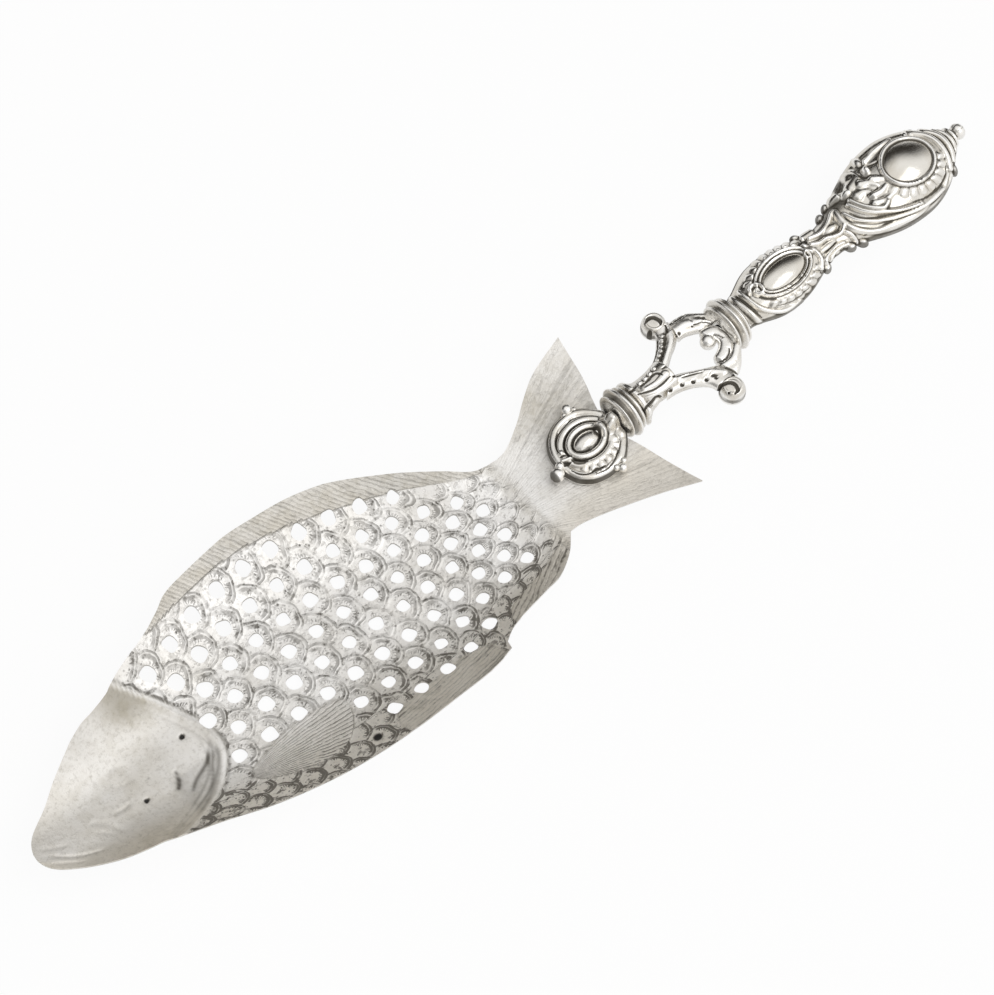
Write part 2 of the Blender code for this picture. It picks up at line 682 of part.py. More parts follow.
def keep_half(mesh, side):
    """Cut a closed mesh at the handle's seam, keep the half on one side and close the cut."""
    work = bmesh.new()
    work.from_mesh(mesh)
    everything = work.verts[:] + work.edges[:] + work.faces[:]
    seam = Vector((0.0, 0.0, AXIS_Z + side * GAP / 2))
    bmesh.ops.bisect_plane(
        work, geom=everything, dist=MERGE, plane_co=seam, plane_no=(0.0, 0.0, side),
        clear_inner=True)
    rim = [e for e in work.edges if e.is_boundary]
    bmesh.ops.contextual_create(work, geom=rim)
    bmesh.ops.recalc_face_normals(work, faces=work.faces[:])
    work.to_mesh(mesh)
    work.free()


def handle_solid(name, side):
    """The handle's whole outer form, with bosses on its front side and knobs on its edges."""
    outer = handle_profile(0.0, HANDLE_START, HANDLE_END, SHELL_STATIONS)
    solid = turned(name, [(HANDLE_END, 0.0)] + outer + [(HANDLE_START, 0.0)], HANDLE_FLATNESS)
    extras = []
    if side > 0:
        rise = 2 * SHELL_WALL + BOSS_RISE
        extras.append(ball(
            "almond_boss", boss_place(ALMOND_SHARE), (ALMOND_LENGTH / 2, ALMOND_WIDTH / 2, rise)))
        extras.append(ball(
            "oval_boss", boss_place(OVAL_SHARE), (OVAL_LENGTH / 2, OVAL_WIDTH / 2, rise)))
    for i, share in enumerate(KNOB_SHARES):
        reach = HANDLE_LENGTH * share
        for edge in (1, -1):
            place = (HANDLE_START + reach, edge * handle_radius(reach), AXIS_Z)
            extras.append(knob_ball(f"{name}_knob_{i}_{edge}", place, KNOB_RADIUS))
    for extra in extras:
        add_boolean(solid, "UNION", as_cutter(extra))
    return baked_object(name, solid)


def build_shell(name, side):
    """One stamped half of the handle, open at the seam, with its bosses and side knobs."""
    shell = handle_solid(name, side)
    keep_half(shell.data, side)
    inner = handle_profile(SHELL_WALL, HANDLE_START, HANDLE_END, SHELL_STATIONS)
    front = [(HANDLE_END + SHELL_WALL, 0.0), (HANDLE_END + SHELL_WALL, inner[0][1])]
    rear = [(HANDLE_START - SHELL_WALL, inner[-1][1]), (HANDLE_START - SHELL_WALL, 0.0)]
    cavity = turned(name + "_cavity", front + inner + rear, HANDLE_FLATNESS)
    add_boolean(shell, "DIFFERENCE", as_cutter(cavity))
    return finish_part(shell, SILVER_POLISHED if side > 0 else SILVER_DARKENED)


def build_handle_core():
    """Pitch that fills the two shells and grips the tang."""
    inset = SHELL_WALL + GAP
    outer = handle_profile(inset, HANDLE_START, HANDLE_END, CORE_STATIONS)
    bottom = HANDLE_START + TANG_REACH + GAP
    bore = TANG_RADIUS + GAP
    profile = [(HANDLE_END, 0.0)] + outer + [(HANDLE_START, bore), (bottom, bore), (bottom, 0.0)]
    return finish_part(turned("handle_core", profile, HANDLE_FLATNESS), PITCH)


def build_handle_tang():
    """Tang from the collar's front face into the pitch."""
    end = HANDLE_START + TANG_REACH
    start = HANDLE_COLLAR_START
    profile = ((end, 0.0), (end, TANG_RADIUS), (start, TANG_RADIUS), (start, 0.0))
    return finish_part(turned("handle_tang", profile, HANDLE_FLATNESS), STEEL)


def build_finial():
    """Finial at the tip: a flared foot, a drawn-in neck and a ball."""
    start = FINIAL_START
    end = start + FINIAL_LENGTH
    middle = end - FINIAL_RADIUS
    turns = np.linspace(0.0, FINIAL_TURN, FINIAL_STEPS)[1:]
    profile = [(end, 0.0)]
    profile += [(middle + FINIAL_RADIUS * math.cos(a), FINIAL_RADIUS * math.sin(a)) for a in turns]
    profile += [(start + FINIAL_FOOT, END_RADIUS), (start, END_RADIUS), (start, 0.0)]
    return finish_part(turned("end_finial", profile), SILVER_POLISHED)


def hang_on_middle():
    """Hang every piece on one empty, so that the origin lies under the middle of the spoon."""
    pieces = list(parts.objects) + list(cutters.objects)
    middle = bpy.data.objects.new("spoon_middle", None)
    parts.objects.link(middle)
    tip = FINIAL_START + FINIAL_LENGTH
    middle.location = ((BODY_LENGTH - tip) / 2, (BELLY_HEIGHT - BACK_HEIGHT) / 2, 0.0)
    for piece in pieces:
        piece.parent = middle


clear_scene()
parts = new_collection("fish_serving_spoon")
cutters = new_collection("fish_serving_spoon_cutters")
build_fish_bowl()
build_cartouche()
build_stem_collar()
build_stem_pin()
build_yoke_socket()
build_yoke_arm("yoke_arm_back", 1)
build_yoke_arm("yoke_arm_belly", -1)
build_bridge("bridge_scroll_back", 1)
build_bridge("bridge_scroll_belly", -1)
build_handle_collar()
build_handle_tang()
build_shell("handle_front_shell", 1)
build_shell("handle_back_shell", -1)
build_handle_core()
build_finial()
hang_on_middle()
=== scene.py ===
"""Looks of a fish-shaped serving spoon in silver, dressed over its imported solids.

The pieces are drawn in millimetres, with x = 0 at the root of the fish's tail, y = 0 on the handle's
axis and z = 0 on the table. +x runs from the nose to the handle's tip and +y to the fish's back.
"""
from __future__ import annotations

import logging
import math
from dataclasses import dataclass, field
from enum import Enum
from typing import Any, Callable, Sequence

import bpy
import numpy as np
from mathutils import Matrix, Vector

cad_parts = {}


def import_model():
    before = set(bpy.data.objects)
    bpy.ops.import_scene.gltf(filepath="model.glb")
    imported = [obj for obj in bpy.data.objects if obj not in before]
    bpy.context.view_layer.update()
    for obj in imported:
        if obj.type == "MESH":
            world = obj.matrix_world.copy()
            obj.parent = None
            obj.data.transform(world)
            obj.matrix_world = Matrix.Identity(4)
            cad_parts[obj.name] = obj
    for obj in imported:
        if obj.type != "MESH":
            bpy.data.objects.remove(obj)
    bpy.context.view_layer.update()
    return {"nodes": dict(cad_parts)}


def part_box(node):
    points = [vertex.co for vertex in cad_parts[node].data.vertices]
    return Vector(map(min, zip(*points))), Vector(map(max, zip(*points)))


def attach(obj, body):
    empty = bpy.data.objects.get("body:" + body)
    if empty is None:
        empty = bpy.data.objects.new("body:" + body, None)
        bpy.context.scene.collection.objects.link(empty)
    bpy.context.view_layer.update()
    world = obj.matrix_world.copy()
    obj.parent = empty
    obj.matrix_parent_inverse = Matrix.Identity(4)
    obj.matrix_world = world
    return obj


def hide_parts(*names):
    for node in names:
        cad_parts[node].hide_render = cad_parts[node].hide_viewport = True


# Metres in a millimetre, the handle's axis above the table in millimetres, and how far the ornament's
# drawing shifts along and across for each millimetre of height.
MM = 0.001
AXIS_Z = 9.38
LEAN = (0.349, 0.371)
# An edge sharper than this, in degrees, isn't shaded smooth.
SHARP_EDGE = 62.0
LOG = logging.getLogger("fish_spoon")

Array = np.ndarray
Pair = tuple[float, float]
Points = Sequence[Pair]
Colour = tuple[float, float, float]


class Slot(Enum):
    """Names of the three kinds of silver."""

    FROSTED = "frosted_silver"
    CAST = "cast_silver"
    STAMPED = "stamped_silver"


class Side(Enum):
    """The two sides of the spoon, as the sign of y."""

    BACK = 1
    BELLY = -1


class Face(Enum):
    """The two halves of the handle, as the sign of z."""

    FRONT = 1
    REAR = -1


class Socket:
    """One value inside a shader, on which plain arithmetic adds Math nodes."""

    def __init__(self, shader: Shader, output: bpy.types.NodeSocket) -> None:
        """Keeps the shader and the node's output."""
        self.shader = shader
        self.output = output

    def _maths(self, operation: str, first: Any, second: Any) -> Socket:
        """Adds one Math node."""
        return self.shader.node("ShaderNodeMath", {"operation": operation}, {0: first, 1: second})

    def __add__(self, other: Any) -> Socket:
        """self + other."""
        return self._maths("ADD", self, other)

    def __radd__(self, other: Any) -> Socket:
        """other + self."""
        return self._maths("ADD", other, self)

    def __sub__(self, other: Any) -> Socket:
        """self - other."""
        return self._maths("SUBTRACT", self, other)

    def __rsub__(self, other: Any) -> Socket:
        """other - self."""
        return self._maths("SUBTRACT", other, self)

    def __mul__(self, other: Any) -> Socket:
        """self * other."""
        return self._maths("MULTIPLY", self, other)

    def __rmul__(self, other: Any) -> Socket:
        """other * self."""
        return self._maths("MULTIPLY", other, self)

    def floor(self) -> Socket:
        """The whole number below."""
        return self._maths("FLOOR", self, 0.0)

    def modulo(self, other: Any) -> Socket:
        """What is left after dividing."""
        return self._maths("MODULO", self, other)

    def root(self) -> Socket:
        """The square root."""
        return self._maths("SQRT", self, 0.0)

    def below(self, other: Any) -> Socket:
        """1 where the value is less than the other."""
        return self._maths("LESS_THAN", self, other)

    def above(self, other: Any) -> Socket:
        """1 where the value is more than the other."""
        return self._maths("GREATER_THAN", self, other)

    def arctan2(self, other: Any) -> Socket:
        """The angle whose sine goes with this value and whose cosine with the other."""
        return self._maths("ARCTAN2", self, other)

    def highest(self, other: Any) -> Socket:
        """The greater of the two."""
        return self._maths("MAXIMUM", self, other)

    def size(self) -> Socket:
        """The value without its sign."""
        return self._maths("ABSOLUTE", self, 0.0)

    def wave(self) -> Socket:
        """A sine that repeats each time the value grows by one."""
        return self._maths("SINE", self * math.tau, 0.0)

    def rise(self, low: float, high: float) -> Socket:
        """A smooth step from 0 at low to 1 at high."""
        return self.shader.node("ShaderNodeMapRange", {"interpolation_type": "SMOOTHSTEP"},
                                {0: self, 1: low, 2: high, 3: 0.0, 4: 1.0})

    def line(self, middle: float, half: float) -> Socket:
        """1 where the value is at middle, fading to 0 at half away from it."""
        return 1.0 - (self - middle).size().rise(half * 0.35, half)


class Shader:
    """The node tree of one material or of the world."""

    def __init__(self, tree: bpy.types.NodeTree) -> None:
        """Starts from an empty tree."""
        self.tree = tree
        self.tree.nodes.clear()

    def node(self, kind: str, settings: dict[str, Any] | None = None,
             inputs: dict[int | str, Any] | None = None, output: int | str = 0) -> Socket:
        """Adds one node.

        Args:
            kind: The node's type.
            settings: Its settings, which are set first.
            inputs: Values or links of its sockets.
            output: The output that is handed back.

        Returns:
            That output.
        """
        made = self.tree.nodes.new(kind)
        for name, value in (settings or {}).items():
            setattr(made, name, value)
        for name, value in (inputs or {}).items():
            if isinstance(value, Socket):
                self.tree.links.new(value.output, made.inputs[name])
            else:
                made.inputs[name].default_value = value
        return Socket(self, made.outputs[output]) if made.outputs else Socket(self, None)

    def value(self, name: str) -> Socket:
        """The value that a mesh keeps at its points under a name."""
        return self.node("ShaderNodeAttribute", {"attribute_name": name}, {}, "Fac")

    def place(self) -> Socket:
        """The place on the object, in metres."""
        return self.node("ShaderNodeTexCoord", {}, {}, "Object")

    def noise(self, scale: float, detail: float = 3.0, rough: float = 0.5) -> Socket:
        """Cloudy noise over the object, with so many waves to the metre."""
        return self.node("ShaderNodeTexNoise", {}, {"Vector": self.place(), "Scale": scale,
                                                    "Detail": detail, "Roughness": rough}, "Fac")

    def dots(self, scale: float) -> Socket:
        """The distance from the nearest of many scattered points."""
        return self.node("ShaderNodeTexVoronoi", {}, {"Vector": self.place(), "Scale": scale}, "Distance")

    def blend(self, share: Any, first: Any, second: Any) -> Socket:
        """A mix of two colours."""
        return self.node("ShaderNodeMix", {"data_type": "RGBA"}, {0: share, 6: first, 7: second}, 2)

    def bump(self, height: Socket, depth: float) -> Socket:
        """A normal from a height, where depth is how far 1 stands up, in metres."""
        inputs = {"Height": height, "Distance": depth, "Strength": 1.0}
        return self.node("ShaderNodeBump", {}, inputs, "Normal")


def rgba(colour: Colour) -> tuple[float, float, float, float]:
    """A colour with full alpha."""
    return (*colour, 1.0)


@dataclass(frozen=True)
class Finish:
    """A metal or filler finish that makes one procedural material.

    Attributes:
        name: The material's name.
        bare: Colour of the bare surface.
        aged: Colour of the tarnish in hollows.
        metal: How metallic the bare surface is.
        gloss: Roughness of the bare surface.
    """

    name: str
    bare: Colour
    aged: Colour
    metal: float
    gloss: float

    def material(self) -> bpy.types.Material:
        """Makes the material.

        Returns:
            A new material with this finish's name.
        """
        made = bpy.data.materials.new(self.name)
        made.use_nodes = True
        shader = Shader(made.node_tree)
        surface = self.surface(shader)
        shader.node("ShaderNodeOutputMaterial", {}, {"Surface": surface})
        return made

    def surface(self, shader: Shader) -> Socket:
        """The finish's own nodes up to the surface shader, which each kind of finish has."""
        raise NotImplementedError


@dataclass(frozen=True)
class FrostedSilver(Finish):
    """Sheet silver with a whitened, finely matted face and engraved lines that hold tarnish.

    The mesh says where the face is bright or grey, which row and place of the scale pattern a point
    has, where the engraved rays run and how strong the tarnish is. Part of the bright and grey, and of
    the tarnish that grows towards the belly, is painted light and shade: the back lighter, the belly darker.

    Attributes:
        pale: Colour of the whitened face.
        warm: Colour towards which the silver turns where tarnish is added towards the belly, partly patina
            and partly painted shade.
        cloud: Colour of the broad clouds.
        blotch: Colour of the blotches on grey faces.
        fleck: Colour of the flecks.
        speck: Colour of the finest specks.
        soot: Colour of the punched pits, and of the black spot painted as shade by the belly fin.
        pitch: Millimetres from scale to scale in a row, and from row to row.
        reach: Radius of a scale, in millimetres.
        least_tarnish: Tarnish on the back, the least there is; what is added towards the belly is partly
            patina and partly painted shade.
        relief: How far the finest relief stands up, in metres.
    """

    pale: Colour = (0.955, 0.94, 0.92)
    warm: Colour = (0.92, 0.82, 0.64)
    cloud: Colour = (0.58, 0.53, 0.435)
    blotch: Colour = (0.45, 0.41, 0.325)
    fleck: Colour = (0.36, 0.335, 0.28)
    speck: Colour = (0.40, 0.37, 0.32)
    soot: Colour = (0.010, 0.009, 0.008)
    pitch: Pair = (8.7, 7.0)
    reach: float = 4.9
    least_tarnish: float = 0.52
    relief: float = 0.00022

    def top_scale(self, shader: Shader) -> tuple[Socket, Socket]:
        """Finds the scale that lies on top.

        Args:
            shader: The material's node tree.

        Returns:
            The place along and across that scale, in millimetres from its middle.
        """
        row = shader.value("row") + (shader.noise(170.0, 2.0) - 0.5) * 0.32
        place = shader.value("place") + (shader.noise(190.0, 2.0) - 0.5) * 0.32
        best, right, high = None, None, None
        for above in (0.0, 1.0):
            here = row.floor() + above
            odd = here.modulo(2.0)
            along = place + odd * 0.5
            up = (row - here) * self.pitch[1]
            for ahead in (0.0, 1.0):
                chosen = along.floor() + ahead
                off = (along - chosen) * self.pitch[0]
                outside = (off * off + up * up).root().above(self.reach)
                rank = chosen - odd * 0.5 + outside * 50.0
                if best is None:
                    best, right, high = rank, off, up
                    continue
                closer = rank.below(best)
                best = best + (rank - best) * closer
                right = right + (off - right) * closer
                high = high + (up - high) * closer
        return right, high

    def surface(self, shader: Shader) -> Socket:
        """The finish's own nodes, up to the surface shader.

        Args:
            shader: The material's node tree.

        Returns:
            The surface shader's output.
        """
        tone = shader.value("tone")
        tarnish = shader.value("tarnish")
        clouds = shader.noise(70.0, 4.0, 0.6)
        specks = shader.noise(900.0, 3.0, 0.6)
        grain = shader.noise(2600.0, 2.0, 0.5)
        wear = shader.noise(160.0, 3.0, 0.55)
        broken = shader.noise(620.0, 2.0, 0.5)

        right, high = self.top_scale(shader)
        far = (right * right + high * high).root()
        turn = high.arctan2(right)
        tailward = 1.0 - turn.size().rise(1.25, 1.80)
        patchy = shader.noise(300.0, 2.0, 0.5).rise(0.34, 0.60)
        # worn is the tarnish added towards the belly, partly patina and partly painted shade; it widens the
        # dark borders and warms the face there.
        worn = tarnish - self.least_tarnish
        border = (far + worn * 0.30).rise(4.08, 4.58) * (0.30 + 0.70 * tailward) * (0.40 + 0.60 * patchy)
        second_arc = far.line(3.50, 0.60) * tailward * (0.25 + 0.75 * patchy)
        fringe = far.rise(2.15, 2.50) * (1.0 - far.rise(2.95, 3.30)) * tailward
        ticks = (turn * 3.4 + broken * 2.0).wave().rise(0.0, 0.7) * fringe * broken.rise(0.36, 0.52)
        marks = shader.noise(560.0, 3.0, 0.6).rise(0.52, 0.64)
        stipple = 1.0 - shader.dots(620.0).rise(0.10, 0.24)
        cut = second_arc * 0.95 + border * 1.0 + ticks * 0.75 + marks * 0.52 + stipple * 0.60
        cut = cut * shader.value("scaled")
        phase = shader.value("phase")
        wobbly = phase + (wear - 0.5) * 1.7 + (broken - 0.5) * 0.45
        waves = wobbly.wave().rise(0.0, 0.95) * broken.rise(0.24, 0.46)
        streaks = shader.node("ShaderNodeTexNoise", {}, {
            "Vector": shader.node("ShaderNodeCombineXYZ", {}, {0: phase * 0.5, 1: clouds * 5.0}),
            "Scale": 1.0, "Detail": 4.0, "Roughness": 0.65}, "Fac").rise(0.44, 0.66)
        engraved = (cut + waves * shader.value("stroke") + streaks * shader.value("brushed")).highest(0.0)

        # dark holds tarnish in the head's lines and pits, painted shade on the lower gill cover, and a black
        # spot painted as shade by the belly fin.
        dark = shader.value("dark")
        aged = (engraved * tarnish * (0.35 + 1.1 * wear) + dark).rise(0.0, 0.85)
        face = shader.blend(tone, rgba(self.bare), rgba(self.pale))
        blotches = shader.noise(230.0, 5.0, 0.68).rise(0.42, 0.66)
        flecks = shader.noise(760.0, 4.0, 0.7).rise(0.50, 0.68)
        face = shader.blend(worn * 0.36, face, rgba(self.warm))
        face = shader.blend((clouds - 0.40) * 1.0, face, rgba(self.cloud))
        face = shader.blend(blotches * (1.0 - tone) * 0.75, face, rgba(self.blotch))
        face = shader.blend(flecks * (0.18 + 0.30 * (1.0 - tone)), face, rgba(self.fleck))
        face = shader.blend((specks - 0.54) * 1.5, face, rgba(self.speck))
        colour = shader.blend(aged * 0.88, face, rgba(self.aged))
        colour = shader.blend(dark.rise(0.75, 1.2), colour, rgba(self.soot))
        rough = self.gloss + 0.16 * (wear - 0.5) + 0.18 * aged
        height = grain * 0.18 + specks * 0.16 + flecks * 0.12 - engraved * 0.9
        return shader.node("ShaderNodeBsdfPrincipled", {}, {
            "Base Color": colour, "Metallic": self.metal - 0.4 * aged, "Roughness": rough,
            "Normal": shader.bump(height, self.relief), "Specular IOR Level": 0.5})


@dataclass(frozen=True)
class ReliefSilver(Finish):
    """Cast or stamped silver, polished on its crests, with tarnish left in the hollows.

    Attributes:
        reach: How much of a shallow hollow keeps its tarnish.
        pits: How strong the fine casting pits are.
        soot: How black the drawn lines and the painted shade are.
        film: Colour of the thin film of tarnish.
        crest: Colour of the polished crests.
        hairs: Fine scratches to the metre, along, across and up.
        relief: How far the finest relief stands up, in metres.
    """

    reach: float
    pits: float
    soot: float
    film: Colour = (0.60, 0.55, 0.465)
    crest: Colour = (0.95, 0.935, 0.905)
    hairs: tuple[float, float, float] = (420.0, 5200.0, 3000.0)
    relief: float = 0.00006

    def surface(self, shader: Shader) -> Socket:
        """The finish's own nodes, up to the surface shader.

        Args:
            shader: The material's node tree.

        Returns:
            The surface shader's output.
        """
        hollow = shader.value("hollow")
        clouds = shader.noise(140.0, 4.0, 0.6)
        pores = shader.noise(1900.0, 3.0, 0.6)
        hairs = shader.node("ShaderNodeTexNoise", {}, {
            "Vector": shader.node("ShaderNodeMapping", {}, {
                "Vector": shader.place(), "Scale": self.hairs}),
            "Scale": 1.0, "Detail": 2.0}, "Fac")
        sunk = hollow.highest(-0.14) * self.reach
        # The dark value holds tarnish in the drawn lines, and painted shade: the handle's shade patches and
        # seam band, the plates' rims, one knob's side and the bars' sides.
        aged = (sunk + (clouds - 0.5) * 0.36 + shader.value("dark") * self.soot).rise(0.18, 0.95)
        polish = (0.0 - hollow).rise(0.05, 0.6)
        film = (clouds - 0.36).rise(0.0, 0.42)
        face = shader.blend(film * 0.70, rgba(self.bare), rgba(self.film))
        face = shader.blend(polish, face, rgba(self.crest))
        colour = shader.blend(aged * 0.95, face, rgba(self.aged))
        rough = self.gloss + 0.10 * (hairs - 0.5) + 0.30 * aged + 0.08 * film
        height = pores * self.pits + hairs * 0.25
        return shader.node("ShaderNodeBsdfPrincipled", {}, {
            "Base Color": colour, "Metallic": self.metal - 0.35 * aged, "Roughness": rough,
            "Normal": shader.bump(height, self.relief), "Specular IOR Level": 0.5})


@dataclass(frozen=True)
class DullCore(Finish):
    """Pitch or plain steel, which only shows in the seams.

    Attributes:
        clump: Lumps to the metre.
        depth: How far the lumps stand up, in metres.
    """

    clump: float = 260.0
    depth: float = 0.0002

    def surface(self, shader: Shader) -> Socket:
        """The finish's own nodes, up to the surface shader.

        Args:
            shader: The material's node tree.

        Returns:
            The surface shader's output.
        """
        lumps = shader.noise(self.clump, 4.0, 0.6)
        grain = shader.noise(self.clump * 7.0, 3.0, 0.6)
        uneven = lumps * 0.7 + grain * 0.3
        colour = shader.blend(uneven.rise(0.3, 0.7), rgba(self.bare), rgba(self.aged))
        return shader.node("ShaderNodeBsdfPrincipled", {}, {
            "Base Color": colour, "Metallic": self.metal, "Roughness": self.gloss + 0.2 * (grain - 0.5),
            "Normal": shader.bump(uneven, self.depth)})


FROSTED = FrostedSilver("matted_sheet_silver", (0.41, 0.375, 0.305), (0.070, 0.060, 0.044), 0.42, 0.47)
CAST = ReliefSilver("polished_cast_silver", (0.80, 0.78, 0.74), (0.062, 0.054, 0.040), 1.0, 0.24,
                    reach=0.9, pits=0.55, soot=0.95)
STAMPED = ReliefSilver("polished_stamped_silver", (0.79, 0.765, 0.715), (0.070, 0.060, 0.044), 1.0, 0.19,
                       reach=0.8, pits=0.35, soot=0.72)
PITCH = DullCore("filler_pitch", (0.030, 0.022, 0.016), (0.075, 0.058, 0.042), 0.0, 0.62)
STEEL = DullCore("dull_steel", (0.30, 0.30, 0.31), (0.20, 0.19, 0.18), 1.0, 0.42, clump=500.0, depth=0.00005)


@dataclass
class Skin:
    """A closed mesh in the drawing, with one value at each point for every name its finish reads."""

    points: Array
    faces: list[tuple[int, ...]]
    values: dict[str, Array] = field(default_factory=dict)

    def with_parts(self, others: Sequence[Skin]) -> Skin:
        """This skin and others as one mesh.

        Args:
            others: Skins that are added to it.

        Returns:
            The joined skin, where a value that one of them lacks is 0.
        """
        parts = [self, *others]
        names = {name for part in parts for name in part.values}
        faces: list[tuple[int, ...]] = []
        start = 0
        for part in parts:
            faces.extend(tuple(corner + start for corner in face) for face in part.faces)
            start += len(part.points)
        values = {name: np.concatenate([part.values.get(name, np.zeros(len(part.points))) for part in parts])
                  for name in names}
        return Skin(np.concatenate([part.points for part in parts]), faces, values)


@dataclass(frozen=True)
class Drawing:
    """Where the drawing's origin lies in the frame, in metres."""

    origin: tuple[float, float, float]

    @classmethod
    def from_frame(cls, nose: float) -> Drawing:
        """Finds the drawing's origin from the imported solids.

        Args:
            nose: Distance from the tail's root to the nose.

        Returns:
            The drawing on the frame.
        """
        low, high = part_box("handle_collar")
        return cls((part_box("fish_bowl")[0][0] + nose * MM, (low[1] + high[1]) / 2, 0.0))

    def placed(self, points: Array) -> Array:
        """Points of the drawing in the frame, in metres."""
        return points * MM + np.array(self.origin)

    def piece(self, name: str, skin: Skin, node: str, material: bpy.types.Material,
              spread: int = 10, depth: float = 0.12) -> bpy.types.Object:
        """Makes one piece, which rides on the body and stands for a CAD node.

        Args:
            name: The piece's name.
            skin: Its mesh.
            node: The CAD node that it stands for.
            material: Its material.
            spread: How many steps along the mesh a hollow is judged over.
            depth: How deep a hollow is black with tarnish, in millimetres.

        Returns:
            The new object.
        """
        mesh = bpy.data.meshes.new(name)
        mesh.from_pydata(self.placed(skin.points).tolist(), [], skin.faces)
        mesh.update()
        values = dict(skin.values)
        values["hollow"] = hollows(mesh, spread) / depth
        for key, value in values.items():
            layer = mesh.attributes.new(key, "FLOAT", "POINT")
            layer.data.foreach_set("value", np.ascontiguousarray(value, dtype=np.float32))
        mesh.shade_smooth()
        mesh.set_sharp_from_angle(angle=math.radians(SHARP_EDGE))
        mesh.materials.append(material)
        made = bpy.data.objects.new(name, mesh)
        bpy.context.scene.collection.objects.link(made)
        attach(made, "root")
        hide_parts(node)
        LOG.info("%s: %d faces, stands for %s", name, len(mesh.polygons), node)
        return made


def hollows(mesh: bpy.types.Mesh, spread: int) -> Array:
    """How far each point lies under the smoothed face around it.

    Args:
        mesh: A mesh in metres.
        spread: How many rounds of smoothing are used.

    Returns:
        Depths in millimetres, below zero on crests.
    """
    count = len(mesh.vertices)
    points = np.empty(count * 3)
    mesh.vertices.foreach_get("co", points)
    points = points.reshape(-1, 3)
    normals = np.empty(count * 3, dtype=np.float32)
    mesh.vertex_normals.foreach_get("vector", normals)
    ends = np.empty(len(mesh.edges) * 2, dtype=np.int64)
    mesh.edges.foreach_get("vertices", ends)
    first, second = ends.reshape(-1, 2).T
    share = np.maximum(np.bincount(first, minlength=count) + np.bincount(second, minlength=count), 1)
    smooth = points.copy()
    for _ in range(spread):
        near = np.stack([np.bincount(first, smooth[second, axis], count)
                         + np.bincount(second, smooth[first, axis], count) for axis in range(3)], axis=1)
        smooth = 0.5 * smooth + 0.5 * near / share[:, None]
    return ((smooth - points) * normals.reshape(-1, 3)).sum(axis=1) / MM


def ease(share: Array | float) -> Array:
    """A smooth step from 0 to 1."""
    held = np.clip(share, 0.0, 1.0)
    return held * held * (3.0 - 2.0 * held)


def smooth_line(points: Points, steps: int = 10) -> Array:
    """A smooth line through points.

    Args:
        points: The points, in order.
        steps: Steps between one point and the next.

    Returns:
        The line's points.
    """
    known = np.asarray(points, dtype=float)
    padded = np.vstack([2 * known[0] - known[1], known, 2 * known[-1] - known[-2]])
    share = np.linspace(0.0, 1.0, steps, endpoint=False)[:, None]
    parts = []
    for before, start, end, after in zip(padded, padded[1:], padded[2:], padded[3:]):
        parts.append(0.5 * (2 * start + (end - before) * share
                            + (2 * before - 5 * start + 4 * end - after) * share ** 2
                            + (3 * start - before - 3 * end + after) * share ** 3))
    return np.vstack(parts + [known[-1:]])


def spiral(middle: Pair, outer: float, inner: float, start: float, turn: float,
           steps: int = 40) -> Array:
    """A spiral line.

    Args:
        middle: Its middle.
        outer: Its first radius.
        inner: Its last radius.
        start: The angle it starts at, in degrees.
        turn: The angle it runs through, in degrees, with its sign.
        steps: How many steps it has.

    Returns:
        The line's points.
    """
    angle = np.radians(start + np.linspace(0.0, turn, steps + 1))
    radius = np.linspace(outer, inner, steps + 1)
    return np.stack([middle[0] + radius * np.cos(angle), middle[1] + radius * np.sin(angle)], axis=1)


def nearest(x: Array, y: Array, line: Array) -> tuple[Array, Array]:
    """How far points lie from a line.

    Args:
        x: Places along the spoon.
        y: Places across it.
        line: The line's points.

    Returns:
        The distance and the share along the line of its nearest place.
    """
    best = np.full(x.shape, np.inf)
    share = np.zeros(x.shape)
    for step, (start, end) in enumerate(zip(line, line[1:])):
        way = end - start
        along = ((x - start[0]) * way[0] + (y - start[1]) * way[1]) / max(way @ way, 1e-9)
        along = np.clip(along, 0.0, 1.0)
        away = np.hypot(x - start[0] - along * way[0], y - start[1] - along * way[1])
        closer = away < best
        best = np.where(closer, away, best)
        share = np.where(closer, (step + along) / (len(line) - 1), share)
    return best, share


Rows = Sequence[tuple[Points, float, float]]


